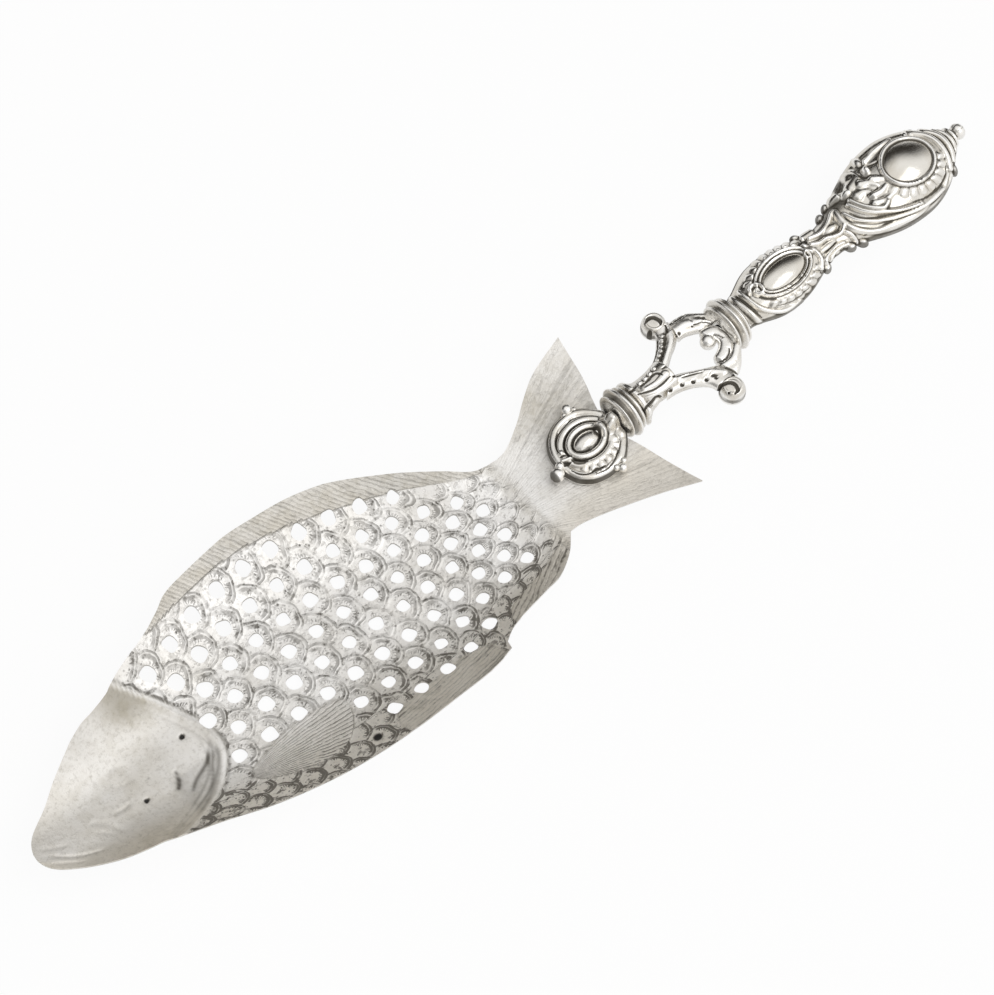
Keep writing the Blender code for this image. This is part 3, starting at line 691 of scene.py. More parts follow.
@dataclass
class Relief:
    """Heights over a smooth ground and the tarnish and painted shade left on it, drawn stroke by stroke."""

    x: Array
    y: Array

    def __post_init__(self) -> None:
        """Starts from a flat, clean ground."""
        self.height = np.zeros(self.x.shape)
        self.stain = np.zeros(self.x.shape)

    def raise_to(self, height: Array) -> None:
        """Lets a shape stand up where it is higher than what is there."""
        self.height = np.maximum(self.height, height)

    def ridge(self, line: Array, half: float, rise: float, ends: Pair = (1.0, 1.0)) -> None:
        """Adds a round ridge.

        Args:
            line: The ridge's line.
            half: Half its width.
            rise: Its height.
            ends: Its width and height at its two ends, as shares.
        """
        away, share = nearest(self.x, self.y, line)
        size = ends[0] + (ends[1] - ends[0]) * share
        self.raise_to(rise * size * rounded(away / (half * size)))

    def ridges(self, rows: Rows, ends: Pair = (1.0, 1.0)) -> None:
        """Adds smooth ridges, each from points to draw it through, half its width and its height."""
        for points, half, rise in rows:
            self.ridge(smooth_line(points), half, rise, ends)

    def groove(self, line: Array, half: float, depth: float, stain: float) -> None:
        """Cuts a round groove.

        Args:
            line: The groove's line.
            half: Half its width.
            depth: Its depth.
            stain: How much tarnish it holds.
        """
        away, share = nearest(self.x, self.y, line)
        taper = 0.45 + 0.55 * ease(np.minimum(share, 1.0 - share) / 0.22)
        cut = np.clip(1.0 - (away / (half * taper)) ** 2, 0.0, 1.0)
        self.height = self.height - depth * cut
        self.stain = np.maximum(self.stain, stain * ease(1.5 * cut))

    def grooves(self, rows: Rows, depth: float) -> None:
        """Cuts smooth grooves of one depth, each from points, half its width and the tarnish it holds."""
        for points, half, stain in rows:
            self.groove(smooth_line(points), half, depth, stain)

    def spot(self, middle: Pair, radius: float, depth: float) -> None:
        """Punches a round pit, painted black.

        Args:
            middle: Its middle.
            radius: Its radius.
            depth: Its depth.
        """
        far = np.hypot(self.x - middle[0], self.y - middle[1]) / radius
        cut = np.clip(1.0 - far ** 2, 0.0, 1.0)
        self.height = self.height - depth * cut
        self.stain = np.maximum(self.stain, ease(1.8 * cut))

    def off_middle(self, middle: Pair, halves: Pair) -> Array:
        """How far each point lies from an oval's middle, where 1 is on the oval."""
        return np.hypot((self.x - middle[0]) / halves[0], (self.y - middle[1]) / halves[1])

    def dome(self, middle: Pair, halves: Pair, rise: float) -> None:
        """Adds an oval dome."""
        self.raise_to(rise * rounded(self.off_middle(middle, halves)))

    def off_oval(self, middle: Pair, halves: Pair) -> Array:
        """About how far each point lies outside an oval, below zero inside it."""
        far = self.off_middle(middle, halves)
        return (far - 1.0) * np.hypot(self.x - middle[0], self.y - middle[1]) / np.maximum(far, 1e-6)

    def ring(self, middle: Pair, halves: Pair, half: float, rise: float) -> None:
        """Adds an oval ring.

        Args:
            middle: Its middle.
            halves: Its half length and half width, to the crest.
            half: Half the ring's own width.
            rise: Its height.
        """
        self.raise_to(rise * rounded(self.off_oval(middle, halves) / half))

    def ring_groove(self, middle: Pair, halves: Pair, half: float, depth: float,
                    stain: float, shaded_side: float | None = None) -> None:
        """Cuts an oval groove.

        Args:
            middle: Its middle.
            halves: Its half length and half width.
            half: Half its width.
            depth: Its depth.
            stain: How much tarnish it holds.
            shaded_side: The angle, in degrees, of the side where the groove is painted darker as shade, or
                None for even tarnish all round.
        """
        cut = np.clip(1.0 - (self.off_oval(middle, halves) / half) ** 2, 0.0, 1.0)
        held = np.ones(self.x.shape)
        # Painted shade: the groove keeps its full tarnish on the shaded side and fades to 30 % of it
        # opposite.
        if shaded_side is not None:
            angle = np.arctan2(self.y - middle[1], self.x - middle[0]) - math.radians(shaded_side)
            held = 0.30 + 0.70 * ease(0.75 + 0.75 * np.cos(angle))
        self.height = self.height - depth * cut
        self.stain = np.maximum(self.stain, stain * held * ease(1.5 * cut))

    def flutes(self, middle: Pair, inner: Pair, outer: Pair,
               arc: Pair, count: int, rise: float) -> None:
        """Adds a fan of rounded flutes, as on a shell.

        Args:
            middle: The middle that they fan out from.
            inner: Half length and half width of the oval where they start.
            outer: Half length and half width of the oval where they end.
            arc: First and last angle, in degrees.
            count: How many there are.
            rise: Their height.
        """
        near = self.off_middle(middle, inner)
        far = self.off_middle(middle, outer)
        angle = np.degrees(np.arctan2((self.y - middle[1]) / outer[1], (self.x - middle[0]) / outer[0]))
        share = ((angle - arc[0]) % 360.0) / ((arc[1] - arc[0]) % 360.0)
        turn = rounded(2.0 * ((share * count) % 1.0) - 1.0)
        body = ease((near - 1.0) / 0.10) * rounded(far / (0.88 + 0.12 * turn)) ** 0.5
        inside = (share < 1.0) & (near > 1.0)
        self.raise_to(np.where(inside, rise * turn * body, 0.0))
        self.stain = np.maximum(self.stain, np.where(inside & (far < 1.0), 0.6 * (1.0 - turn) ** 3, 0.0))

    def beads(self, line: Array, count: int, halves: Pair, rise: float) -> None:
        """Adds a row of beads along a line, with tarnish round each of them.

        Args:
            line: The line.
            count: How many beads there are.
            halves: Half length and half width of a bead.
            rise: Their height.
        """
        for spot in evenly(line, count):
            far = self.off_middle(spot, halves)
            self.raise_to(rise * rounded(far))
            self.stain = np.maximum(self.stain, 0.9 * ease(1.0 - np.abs(far - 1.08) / 0.34))


def rounded(share: Array) -> Array:
    """A soft crest, 1 in the middle and 0 at a share of 1 to either side."""
    return np.clip(1.0 - share ** 2, 0.0, 1.0) ** 0.75


def drawn_at(x: Array, y: Array, z: Array | float) -> Relief:
    """A clean relief for a carved face.

    Args:
        x: Places along the spoon.
        y: Places across it.
        z: Heights of the plain face.

    Returns:
        The relief, in the ornament's drawing, which leans over with height.
    """
    return Relief(x + LEAN[0] * (z - AXIS_Z), y + LEAN[1] * (z - AXIS_Z))


Strokes = Callable[[Relief], None]
Carved = Callable[[Array, Array, Array], tuple[Array, Array]]
Faces = dict[str, tuple[Array, float]]


def between(upper: Array, lower: Array, keep: Array, values: Faces) -> Skin:
    """A closed solid between two grids of points.

    Args:
        upper: Points of the upper face, by row and column.
        lower: Points of the lower face.
        keep: Which cells there are.
        values: For each name its values at the upper points and the one value below.

    Returns:
        The solid's skin.
    """
    rows, columns = upper.shape[:2]
    total = rows * columns
    index = np.arange(total).reshape(rows, columns)
    quads = np.stack([index[:-1, :-1], index[1:, :-1], index[1:, 1:], index[:-1, 1:]], axis=-1)[keep]
    sides = np.concatenate([quads[:, [corner, (corner + 1) % 4]] for corner in range(4)])
    forth = sides[:, 0] * total + sides[:, 1]
    back = sides[:, 1] * total + sides[:, 0]
    border = sides[~np.isin(forth, back)]
    walls = np.stack([border[:, 1], border[:, 0], border[:, 0] + total, border[:, 1] + total], axis=-1)
    faces = np.concatenate([quads, quads[:, ::-1] + total, walls])
    used, packed = np.unique(faces, return_inverse=True)
    points = np.concatenate([upper.reshape(-1, 3), lower.reshape(-1, 3)])[used]
    kept = {name: np.concatenate([above.reshape(-1), np.full(total, below)])[used]
            for name, (above, below) in values.items()}
    return Skin(points, [tuple(face) for face in packed.reshape(-1, 4).tolist()], kept)


def turned(profile: Array, facets: int, middle: Pair = (0.0, AXIS_Z), loop: bool = False,
           strokes: Strokes | None = None, stain: Array | None = None) -> Skin:
    """A solid turned about the handle's direction.

    Args:
        profile: Points of place along the axis and radius.
        facets: Steps round the axis.
        middle: Where the axis runs, across and above the table.
        loop: Whether the profile closes on itself, as where there is a bore.
        strokes: Draws the carving, the same above and below.
        stain: Tarnish at each point of the profile.

    Returns:
        The solid's skin.
    """
    angle = np.linspace(0.0, math.tau, facets, endpoint=False)[None, :]
    along = np.repeat(profile[:, :1], facets, axis=1)
    radius = np.repeat(profile[:, 1:2], facets, axis=1)
    values = {}
    if stain is not None:
        values["dark"] = np.repeat(stain, facets)
    if strokes is not None:
        upward = np.abs(np.sin(angle))
        relief = drawn_at(along, middle[0] + radius * np.cos(angle), middle[1] + radius * upward)
        strokes(relief)
        facing = ease((upward - 0.10) / 0.30)
        radius = radius + relief.height * facing
        values["dark"] = (relief.stain * facing).reshape(-1)
    right, up = middle[0] + radius * np.cos(angle), middle[1] + radius * np.sin(angle)
    points = np.stack([along, right, up], axis=-1)
    index = np.arange(len(profile) * facets).reshape(-1, facets)
    ahead = np.roll(index, -1, axis=0) if loop else index[1:]
    here = index if loop else index[:-1]
    quads = np.stack([here, np.roll(here, -1, axis=1), np.roll(ahead, -1, axis=1), ahead], axis=-1)
    faces: list[tuple[int, ...]] = [tuple(face) for face in quads.reshape(-1, 4).tolist()]
    if not loop:
        faces += [tuple(index[0, ::-1].tolist()), tuple(index[-1].tolist())]
    return Skin(points.reshape(-1, 3), faces, values)


def tube(left: Array, right: Array, tall: Array, strokes: Strokes, facets: int = 44, square: float = 0.75,
         lift: float = 0.0) -> Skin:
    """A bar between two edge lines in plan, with a rounded section.

    Args:
        left: Points of its left edge.
        right: Points of its right edge, as many.
        tall: Half its height at each of them.
        strokes: Draws the carving, the same above and below.
        facets: Steps round the section.
        square: 1 for a round section and less for a squarer one.
        lift: How far the bar's middle lies above the handle's axis.

    Returns:
        The bar's skin, with closed ends.
    """
    angle = np.linspace(0.0, math.tau, facets, endpoint=False)[None, :]
    across = np.sign(np.cos(angle)) * np.abs(np.cos(angle)) ** square
    up = np.sign(np.sin(angle)) * np.abs(np.sin(angle)) ** square
    plan = (left + right)[:, None, :] / 2 + (right - left)[:, None, :] / 2 * across[..., None]
    rise = up * tall[:, None] + lift
    relief = drawn_at(plan[..., 0], plan[..., 1], AXIS_Z + np.abs(rise))
    strokes(relief)
    height = AXIS_Z + rise + np.sign(up) * ease(np.abs(up) / 0.8) * relief.height
    points = np.concatenate([plan, height[..., None]], axis=-1)
    index = np.arange(points.shape[0] * facets).reshape(-1, facets)
    here, ahead = index[:-1], index[1:]
    quads = np.stack([here, ahead, np.roll(ahead, -1, axis=1), np.roll(here, -1, axis=1)], axis=-1)
    faces: list[tuple[int, ...]] = [tuple(face) for face in quads.reshape(-1, 4).tolist()]
    faces += [tuple(index[0].tolist()), tuple(index[-1, ::-1].tolist())]
    # Painted shade on the bar's sides, which are darkened where they turn away from its top.
    sides = ease((0.42 - np.abs(up)) / 0.3) * 0.40 + np.zeros(relief.stain.shape)
    return Skin(points.reshape(-1, 3), faces, {"dark": np.maximum(relief.stain, sides).reshape(-1)})


def bar(left: Points, right: Points, steps: int, tall: float, strokes: Strokes) -> Skin:
    """A bar of one height between two smooth edges.

    Args:
        left: Points to draw its left edge through.
        right: Points to draw its right edge through.
        steps: How many points each edge gets.
        tall: Half its height.
        strokes: Draws the carving, the same above and below.

    Returns:
        The bar's skin.
    """
    edges = [evenly(smooth_line(line), steps) for line in (left, right)]
    return tube(*edges, np.full(steps, tall), strokes)


def swept(line: Array, half: Array, strokes: Strokes, lift: float) -> Skin:
    """A nearly round bar swept along a line in plan.

    Args:
        line: Points of its middle line.
        half: Half its width and height at each of them.
        strokes: Draws the carving, the same above and below.
        lift: How far the bar's middle lies above the handle's axis.

    Returns:
        The bar's skin.
    """
    way = np.gradient(line, axis=0)
    way /= np.linalg.norm(way, axis=1)[:, None]
    side = np.stack([way[:, 1], -way[:, 0]], axis=1) * half[:, None]
    return tube(line - side, line + side, half, strokes, 32, 0.8, lift)


def ball(middle: tuple[float, float, float], radius: float) -> Skin:
    """A small ball.

    Args:
        middle: Its middle.
        radius: Its radius.

    Returns:
        The ball's skin.
    """
    steps, end_angle = 18, 0.12
    angle = np.linspace(end_angle, math.pi - end_angle, steps)
    profile = np.stack([middle[0] - radius * np.cos(angle), radius * np.sin(angle)], axis=1)
    return turned(profile, steps * 2, (middle[1], middle[2]))


def disc(middle: Pair, edge: Callable[[Array], Array], floor: float, top: Carved, steps: int) -> Skin:
    """A plate with a carved face.

    Args:
        middle: Its middle in plan.
        edge: Its radius, from the angle.
        floor: Height of its underside.
        top: Height and darkening of its face, tarnish and painted shade, from the place in plan and the
            share of the radius.
        steps: Cells along each side of its grid.

    Returns:
        The plate's skin.
    """
    side = np.linspace(-1.0, 1.0, steps + 1)
    first, second = np.meshgrid(side, side, indexing="ij")
    right = first * np.sqrt(1.0 - second ** 2 / 2.0)
    up = second * np.sqrt(1.0 - first ** 2 / 2.0)
    radius = edge(np.arctan2(up, right))
    x, y = middle[0] + radius * right, middle[1] + radius * up
    height, stain = top(x, y, np.hypot(right, up))
    upper = np.stack([x, y, height], axis=-1)
    lower = np.stack([x, y, np.full(x.shape, floor)], axis=-1)
    return between(upper, lower, np.ones((steps, steps), dtype=bool), {"dark": (stain, 0.1)})


@dataclass
class FishBlade:
    """The pierced and engraved fish: one dished sheet from the nose to the tips of the tail.

    Attributes:
        length: From the nose to the tail's root.
        sheet: The upper face over the dish's plain height.
        thin: The lower face over it.
        depth: How deep the dish is.
        nose_lift: How far the nose stands over the table.
        tail_lift: How far the tail stands over it.
        easing: How far to either side the edges are averaged for the dish and the rows.
        columns: Points of the grid across the sheet, an odd number.
        nose_rows: Rows of points along the nose.
        nose_span: Length of the nose.
        body_rows: Rows from there to the tail's root.
        tail_rows: Rows along the tail.
        hole: Radii of the first and last holes.
        hole_ends: Where along the fish those two lie.
        hole_span: Holes lie between these places along the fish.
        hole_margins: How far they stay from the belly and back edges.
        fan_corner: Before and below this place no scale is pierced.
        pitch: Length of the first scale.
        pitch_loss: How much each scale is shorter than the one before, halved.
        first_hole: Where the middle row starts.
        row_lean: How far each row starts behind the one below.
        middle_row: The middle row's share of the width.
        row_share: The share of the width from row to row.
        fine_share: Below this share of the width the scales are finer.
        fine_scales: How many times finer.
        pattern_start: Added to row and place, so that the finish counts from above zero.
        seed: Start of the random draws.
    """

    length: float = 162.0
    sheet: float = 1.0
    thin: float = 0.45
    depth: float = 12.0
    nose_lift: float = 12.0
    tail_lift: float = 5.0
    easing: float = 8.0
    columns: int = 147
    nose_rows: int = 76
    nose_span: float = 50.0
    body_rows: int = 226
    tail_rows: int = 47
    hole: Pair = (2.18, 1.80)
    hole_ends: Pair = (-105.0, -15.0)
    hole_span: Pair = (-107.9, -11.5)
    hole_margins: Pair = (8.0, 5.5)
    fan_corner: Pair = (-76.0, -6.0)
    pitch: float = 9.55
    pitch_loss: float = 0.092
    first_hole: float = -99.1
    row_lean: float = 0.28
    middle_row: float = 0.463
    row_share: float = 0.108
    fine_share: float = 0.17
    fine_scales: float = 1.35
    pattern_start: Pair = (10.0, 8.0)
    seed: int = 7
    back: Points = ((-162.0, 7.6), (-161.7, 9.4), (-160.7, 11.4), (-159.0, 13.3), (-156.4, 15.1),
                    (-151.5, 17.8), (-144.0, 22.4), (-132.0, 27.9), (-126.0, 29.5), (-120.0, 31.2),
                    (-114.0, 33.8), (-102.1, 37.3), (-96.1, 39.6), (-88.9, 42.3), (-71.9, 43.4),
                    (-59.9, 42.4), (-48.0, 40.2), (-36.0, 35.6), (-24.0, 28.2), (-13.9, 20.2), (-7.0, 14.7),
                    (0.0, 13.6))
    belly: Points = ((-162.0, 7.6), (-161.7, 5.9), (-160.9, 4.2), (-159.3, 2.4), (-156.6, 0.4),
                     (-151.5, -2.8), (-144.0, -6.8), (-132.0, -11.5), (-120.0, -15.8), (-108.1, -21.1),
                     (-90.1, -27.0), (-71.9, -30.4), (-53.9, -31.4), (-42.0, -31.8), (-36.1, -30.7))
    belly_end: Points = ((-35.5, -28.2), (-30.0, -25.6), (-18.0, -24.1), (-12.0, -23.5), (-5.3, -19.9),
                         (0.0, -14.9))
    tail_back: Points = ((0.0, 13.6), (4.0, 14.2), (10.8, 17.5), (17.7, 21.8), (24.7, 25.3), (36.5, 28.3))
    tail_belly: Points = ((0.0, -14.9), (4.0, -15.4), (12.2, -18.3), (24.5, -23.7), (34.3, -29.1))
    tail_end_low: Points = ((34.3, -29.1), (32.7, -18.2), (30.9, -7.6), (28.1, 0.0))
    tail_end_high: Points = ((28.1, 0.0), (31.1, 8.7), (34.0, 16.5), (36.5, 28.3))
    gill: Points = ((-117.9, 32.4), (-114.2, 28.0), (-110.9, 23.2), (-108.0, 17.2), (-105.8, 10.5),
                    (-106.2, 4.0), (-109.5, -1.0), (-115.0, -5.5), (-122.0, -8.8), (-131.0, -11.9))
    inner_gill: Points = ((-107.4, 7.4), (-111.0, 3.2), (-117.1, 0.6), (-120.4, -2.0))
    cheek: Points = ((-119.0, 7.0), (-120.3, 3.5), (-122.4, 1.2))
    mouth: Points = ((-160.6, 8.0), (-155.3, 3.6), (-151.8, 1.6), (-145.7, -0.8))
    upper_lip: Points = ((-160.0, 9.6), (-156.5, 7.7), (-152.9, 6.3))
    lower_lip: Points = ((-160.6, 4.9), (-156.0, 2.0), (-152.5, -0.4))
    jaw: Points = ((-145.8, 8.5), (-142.3, 5.4), (-140.0, 0.3))
    jaw_fold: Points = ((-146.3, 5.6), (-143.0, 2.2), (-142.2, -4.1))
    crease: Points = ((-139.5, 6.5), (-136.0, 6.0), (-132.9, 6.3))
    eye: Pair = (-131.4, 14.0)
    eye_radius: float = 2.7
    # The last pit, by the belly fin, is a black spot painted as the shade seen through a hole there.
    pits: tuple[tuple[float, float, float], ...] = (
        (-111.6, 12.4, 0.70), (-130.1, 4.3, 0.66), (-125.9, 8.9, 0.42), (-77.0, -24.4, 1.20))
    dorsal: Points = ((-101.0, 36.9), (-87.0, 39.0), (-72.0, 39.2), (-57.0, 36.8), (-42.0, 31.8),
                      (-26.5, 25.0), (-13.0, 16.4), (-6.0, 13.0))
    fan_root: Pair = (-112.0, -7.0)
    tail_root: Pair = (-22.0, -0.5)
    fan_edge: Points = ((-104.5, -7.0), (-93.0, -4.6), (-84.0, -5.0), (-75.3, -7.4), (-75.0, -12.0),
                        (-78.5, -16.7), (-83.2, -19.6), (-89.0, -20.0), (-95.5, -17.4), (-101.0, -14.6),
                        (-105.5, -10.3), (-104.5, -7.0))
    ventral: Points = ((-71.5, -27.5), (-68.6, -22.7), (-62.2, -21.4), (-53.0, -21.6), (-44.0, -22.2),
                       (-37.5, -24.8))
    anal: Points = ((-30.0, -24.0), (-25.5, -20.2), (-14.0, -18.4), (-4.0, -15.6))

    def __post_init__(self) -> None:
        """Smooths the two long edges."""
        self.back_line = smooth_line(self.back)
        self.belly_line = np.vstack([smooth_line(self.belly), smooth_line(self.belly_end)])

    def high(self, x: Array) -> Array:
        """The back edge at places along the fish."""
        return np.interp(x, self.back_line[:, 0], self.back_line[:, 1])

    def low(self, x: Array) -> Array:
        """The belly edge at places along the fish."""
        return np.interp(x, self.belly_line[:, 0], self.belly_line[:, 1])

    def edges(self, x: Array) -> tuple[Array, Array]:
        """The edges, eased over a short length.

        Args:
            x: Places along the fish.

        Returns:
            The belly edge and the back edge.
        """
        shifts = np.linspace(-self.easing, self.easing, 5)
        bottom = np.mean([self.low(x + shift) for shift in shifts], axis=0)
        top = np.mean([self.high(x + shift) for shift in shifts], axis=0)
        return bottom, top

    def dish(self, x: Array, y: Array) -> Array:
        """Height of the underside.

        Args:
            x: Places along the fish.
            y: Places across it.

        Returns:
            Heights above the table.
        """
        bottom, top = self.edges(x)
        half = np.maximum((top - bottom) / 2, 18.0)
        offset = np.abs(y - (top + bottom) / 2) / half
        keel = self.nose_lift * np.clip((-100.0 - x) / 62.0, 0.0, 1.0) ** 2
        keel += self.tail_lift * ease((x + 40.0) / 40.0)
        deep = np.interp(x, (-self.length, -70.0, -40.0, 0.0), (6.0, self.depth, 11.0, 1.2))
        rise = np.clip((offset - 0.22) / 0.78, 0.0, None)
        return keel + deep * rise ** 2

    def grid(self) -> tuple[Array, Array]:
        """Places of the sheet's points in plan.

        Returns:
            Places along and across, by row along the fish and column from belly to back.
        """
        share = np.linspace(0.0, 1.0, self.columns)[None, :]
        nose = -self.length + 0.05 + self.nose_span * np.linspace(0.0, 1.0, self.nose_rows) ** 1.25
        stations = np.concatenate([nose, np.linspace(nose[-1], 0.0, self.body_rows)[1:]])[:, None]
        body_y = self.low(stations) + (self.high(stations) - self.low(stations)) * share
        body_x = np.repeat(stations, share.size, axis=1)
        upper = evenly(smooth_line(self.tail_back), self.tail_rows)[1:, None, :]
        lower = evenly(smooth_line(self.tail_belly), self.tail_rows)[1:, None, :]
        half = (self.columns + 1) // 2
        low_end = evenly(smooth_line(self.tail_end_low), half)
        end = np.vstack([low_end, evenly(smooth_line(self.tail_end_high), half)[1:]])[None, :, :]
        root = np.stack([body_x[-1], body_y[-1]], axis=-1)[None, :, :]
        along = np.linspace(0.0, 1.0, self.tail_rows)[1:, None, None]
        across = share[:, :, None]
        corner_low, corner_high = root[:, :1], root[:, -1:]
        patch = ((1 - across) * lower + across * upper + (1 - along) * root + along * end
                 - (1 - along) * ((1 - across) * corner_low + across * corner_high)
                 - along * ((1 - across) * end[:, :1] + across * end[:, -1:]))
        return np.vstack([body_x, patch[..., 0]]), np.vstack([body_y, patch[..., 1]])

    def pattern(self, x: Array, y: Array) -> tuple[Array, Array]:
        """Where points lie in the pattern of scales.

        Args:
            x: Places along the fish.
            y: Places across it.

        Returns:
            The row and the place in it, where whole numbers are the middles of the scales.
        """
        bottom, top = self.edges(x)
        row = ((y - bottom) / (top - bottom) - self.middle_row) / self.row_share
        ahead = x - self.first_hole - self.row_lean * row
        root = np.sqrt(np.maximum(self.pitch ** 2 - 4.0 * self.pitch_loss * ahead, 0.0))
        return row, (self.pitch - root) / (2.0 * self.pitch_loss)

    def holes(self) -> Array:
        """Middles of the pierced scales, which stay clear of the edges, the gill and the side fin.

        Returns:
            Places along and across the fish, one row for each hole.
        """
        row, place = np.meshgrid(np.arange(-3, 5), np.arange(-1, 12), indexing="ij")
        step = place - 0.5 * (row % 2)
        x = self.first_hole + self.row_lean * row + step * (self.pitch - self.pitch_loss * step)
        bottom, top = self.edges(x)
        y = bottom + (self.middle_row + self.row_share * row) * (top - bottom)
        kept = (x > self.hole_span[0]) & (x < self.hole_span[1])
        kept &= (y > bottom + self.hole_margins[0]) & (y < top - self.hole_margins[1])
        kept &= (x >= self.fan_corner[0]) | (y >= self.fan_corner[1])
        return np.stack([x[kept], y[kept]], axis=1)

    def pierced(self, x: Array, y: Array) -> tuple[Array, Array, Array]:
        """Cuts the holes out of the grid.

        Args:
            x: Places of the points along the fish.
            y: Places across it.

        Returns:
            The places with the holes' borders drawn onto their outlines, and which cells stay.
        """
        random = np.random.default_rng(self.seed)
        x, y = x.copy(), y.copy()
        cell_x = (x[:-1, :-1] + x[1:, 1:]) / 2
        cell_y = (y[:-1, :-1] + y[1:, 1:]) / 2
        keep = np.ones(cell_x.shape, dtype=bool)
        for middle in self.holes():
            size = np.interp(middle[0], self.hole_ends, self.hole) * random.uniform(0.93, 1.07)
            tilt, square = random.uniform(-0.5, 0.5), random.uniform(0.02, 0.06)
            lobe = random.uniform(0.0, math.tau)

            def outline(angle: Array) -> Array:
                """The hole's radius at an angle, a little square and a little three-sided."""
                squared = square * np.cos(4 * (angle - tilt - 0.8))
                return size * (1.0 + squared + 0.045 * np.cos(3 * angle + lobe))

            far = np.hypot(cell_x - middle[0], cell_y - middle[1])
            cut = far < outline(np.arctan2(cell_y - middle[1], cell_x - middle[0]))
            keep &= ~cut
            touched = np.zeros(x.shape, dtype=bool)
            untouched = np.zeros(x.shape, dtype=bool)
            for row, column in ((0, 0), (1, 0), (1, 1), (0, 1)):
                part = np.s_[row:x.shape[0] - 1 + row, column:x.shape[1] - 1 + column]
                touched[part] |= cut
                untouched[part] |= ~cut
            rim = touched & untouched
            angle = np.arctan2(y[rim] - middle[1], x[rim] - middle[0])
            x[rim] = middle[0] + outline(angle) * np.cos(angle)
            y[rim] = middle[1] + outline(angle) * np.sin(angle)
        return x, y, keep

    def tilt(self, row: Array, place: Array) -> Array:
        """How far the scale on top at each point stands up: low at its root and high at its free edge.

        Args:
            row: Rows in the pattern of scales.
            place: Places in those rows.

        Returns:
            Heights.
        """
        best = np.full(row.shape, np.inf)
        rise = np.zeros(row.shape)
        for above in (0.0, 1.0):
            here = np.floor(row) + above
            odd = here % 2.0
            for ahead in (0.0, 1.0):
                chosen = np.floor(place + 0.5 * odd) + ahead
                right = (place + 0.5 * odd - chosen) * FROSTED.pitch[0]
                up = (row - here) * FROSTED.pitch[1]
                rank = chosen - 0.5 * odd + 50.0 * (np.hypot(right, up) > FROSTED.reach)
                closer = rank < best
                best = np.where(closer, rank, best)
                rise = np.where(closer, 0.14 + 0.26 * right / FROSTED.reach, rise)
        return rise

    def crown(self, x: Array, y: Array) -> Array:
        """1 on the top of the head, behind the eye."""
        return ease((y - 18.0) / 9.0) * ease((x + 130.0) / 12.0)

    def build(self) -> Skin:
        """Makes the whole sheet.

        Returns:
            Its skin, with the values that the matted silver reads.
        """
        x, y = self.grid()
        x, y, keep = self.pierced(x, y)
        relief = Relief(x, y)
        gill = smooth_line(self.gill)
        gill_x = np.interp(y, gill[::-1, 1], gill[::-1, 0])
        head = 1.0 - ease((x - gill_x + 0.7) / 1.4)
        cover = 1.0 - ease((x - gill_x - 0.8) / 1.5)
        dorsal = ease((y - np.interp(x, *smooth_line(self.dorsal).T) + 0.2) / 0.5) * ease((x + 103.0) / 2.0)
        dorsal *= ease((-4.0 - x) / 3.0)
        ventral = self.under(x, y, self.ventral)
        anal = self.under(x, y, self.anal)
        fan = self.inside(x, y, smooth_line(self.fan_edge))
        tail = ease((x + 7.0) / 7.0)
        plain = np.maximum.reduce([cover, dorsal, ventral, anal, fan, tail])
        scaled = 1.0 - plain

        low, high = self.low(x), self.high(x)
        share = np.clip((y - low) / np.maximum(high - low, 1.0), 0.0, 1.0)
        row, place = self.pattern(x, y)
        finer = np.where(share < self.fine_share, self.fine_scales, 1.0)
        row, place = row * finer, place * finer
        relief.height += scaled * self.tilt(row, place) + 0.42 * fan + 0.30 * np.maximum(ventral, anal)
        relief.height += 0.12 * dorsal + 0.30 * head
        dark = self.head_lines(relief, x, y, gill, head)
        phase, stroke = self.fin_lines(x, y, dorsal, ventral, anal, fan, tail)

        # Painted light and shade: the scales are painted paler towards the back and darker towards the
        # belly.
        tone = 0.90 + 0.10 * ease((share - 0.10) / 0.55)
        # Painted highlight across the tail's root, where the band is polished: it is painted brighter and
        # has fewer brush strokes.
        polished = np.exp(-((x - 3.0) / 4.5) ** 2)
        low_lobe = ease((4.0 - y) / 8.0)
        brushed_tail = 0.80 + 0.30 * polished + 0.16 * low_lobe
        brushed_tail -= 0.34 * np.exp(-((x - 20.0) / 9.0) ** 2 - ((y - 17.0) / 8.0) ** 2)
        brushed = 0.55 * tail * (1.0 - 0.7 * polished) * (1.0 - 0.45 * low_lobe) + 0.25 * fan + 0.45 * dorsal
        brushed += 0.40 * np.maximum(ventral, anal)
        # Painted shade: the throat is painted darker. The crown is darker as well.
        throat_shade = ease((0.30 - share) / 0.3) * ease((x + 150.0) / 12.0)
        skull = 0.72 - 0.50 * self.crown(x, y) - 0.30 * throat_shade
        # Painted highlight on the bulging gill cover, near its edge.
        skull += 0.20 * np.exp(-((x + 113.0) / 5.0) ** 2 - ((y - 9.0) / 6.0) ** 2)
        bare = skull * head + 0.95 * (cover - head) + 0.54 * dorsal + 0.70 * ventral + 0.64 * anal
        bare = bare + 0.86 * fan + brushed_tail * tail
        tone = tone * (1.0 - plain) + plain * bare
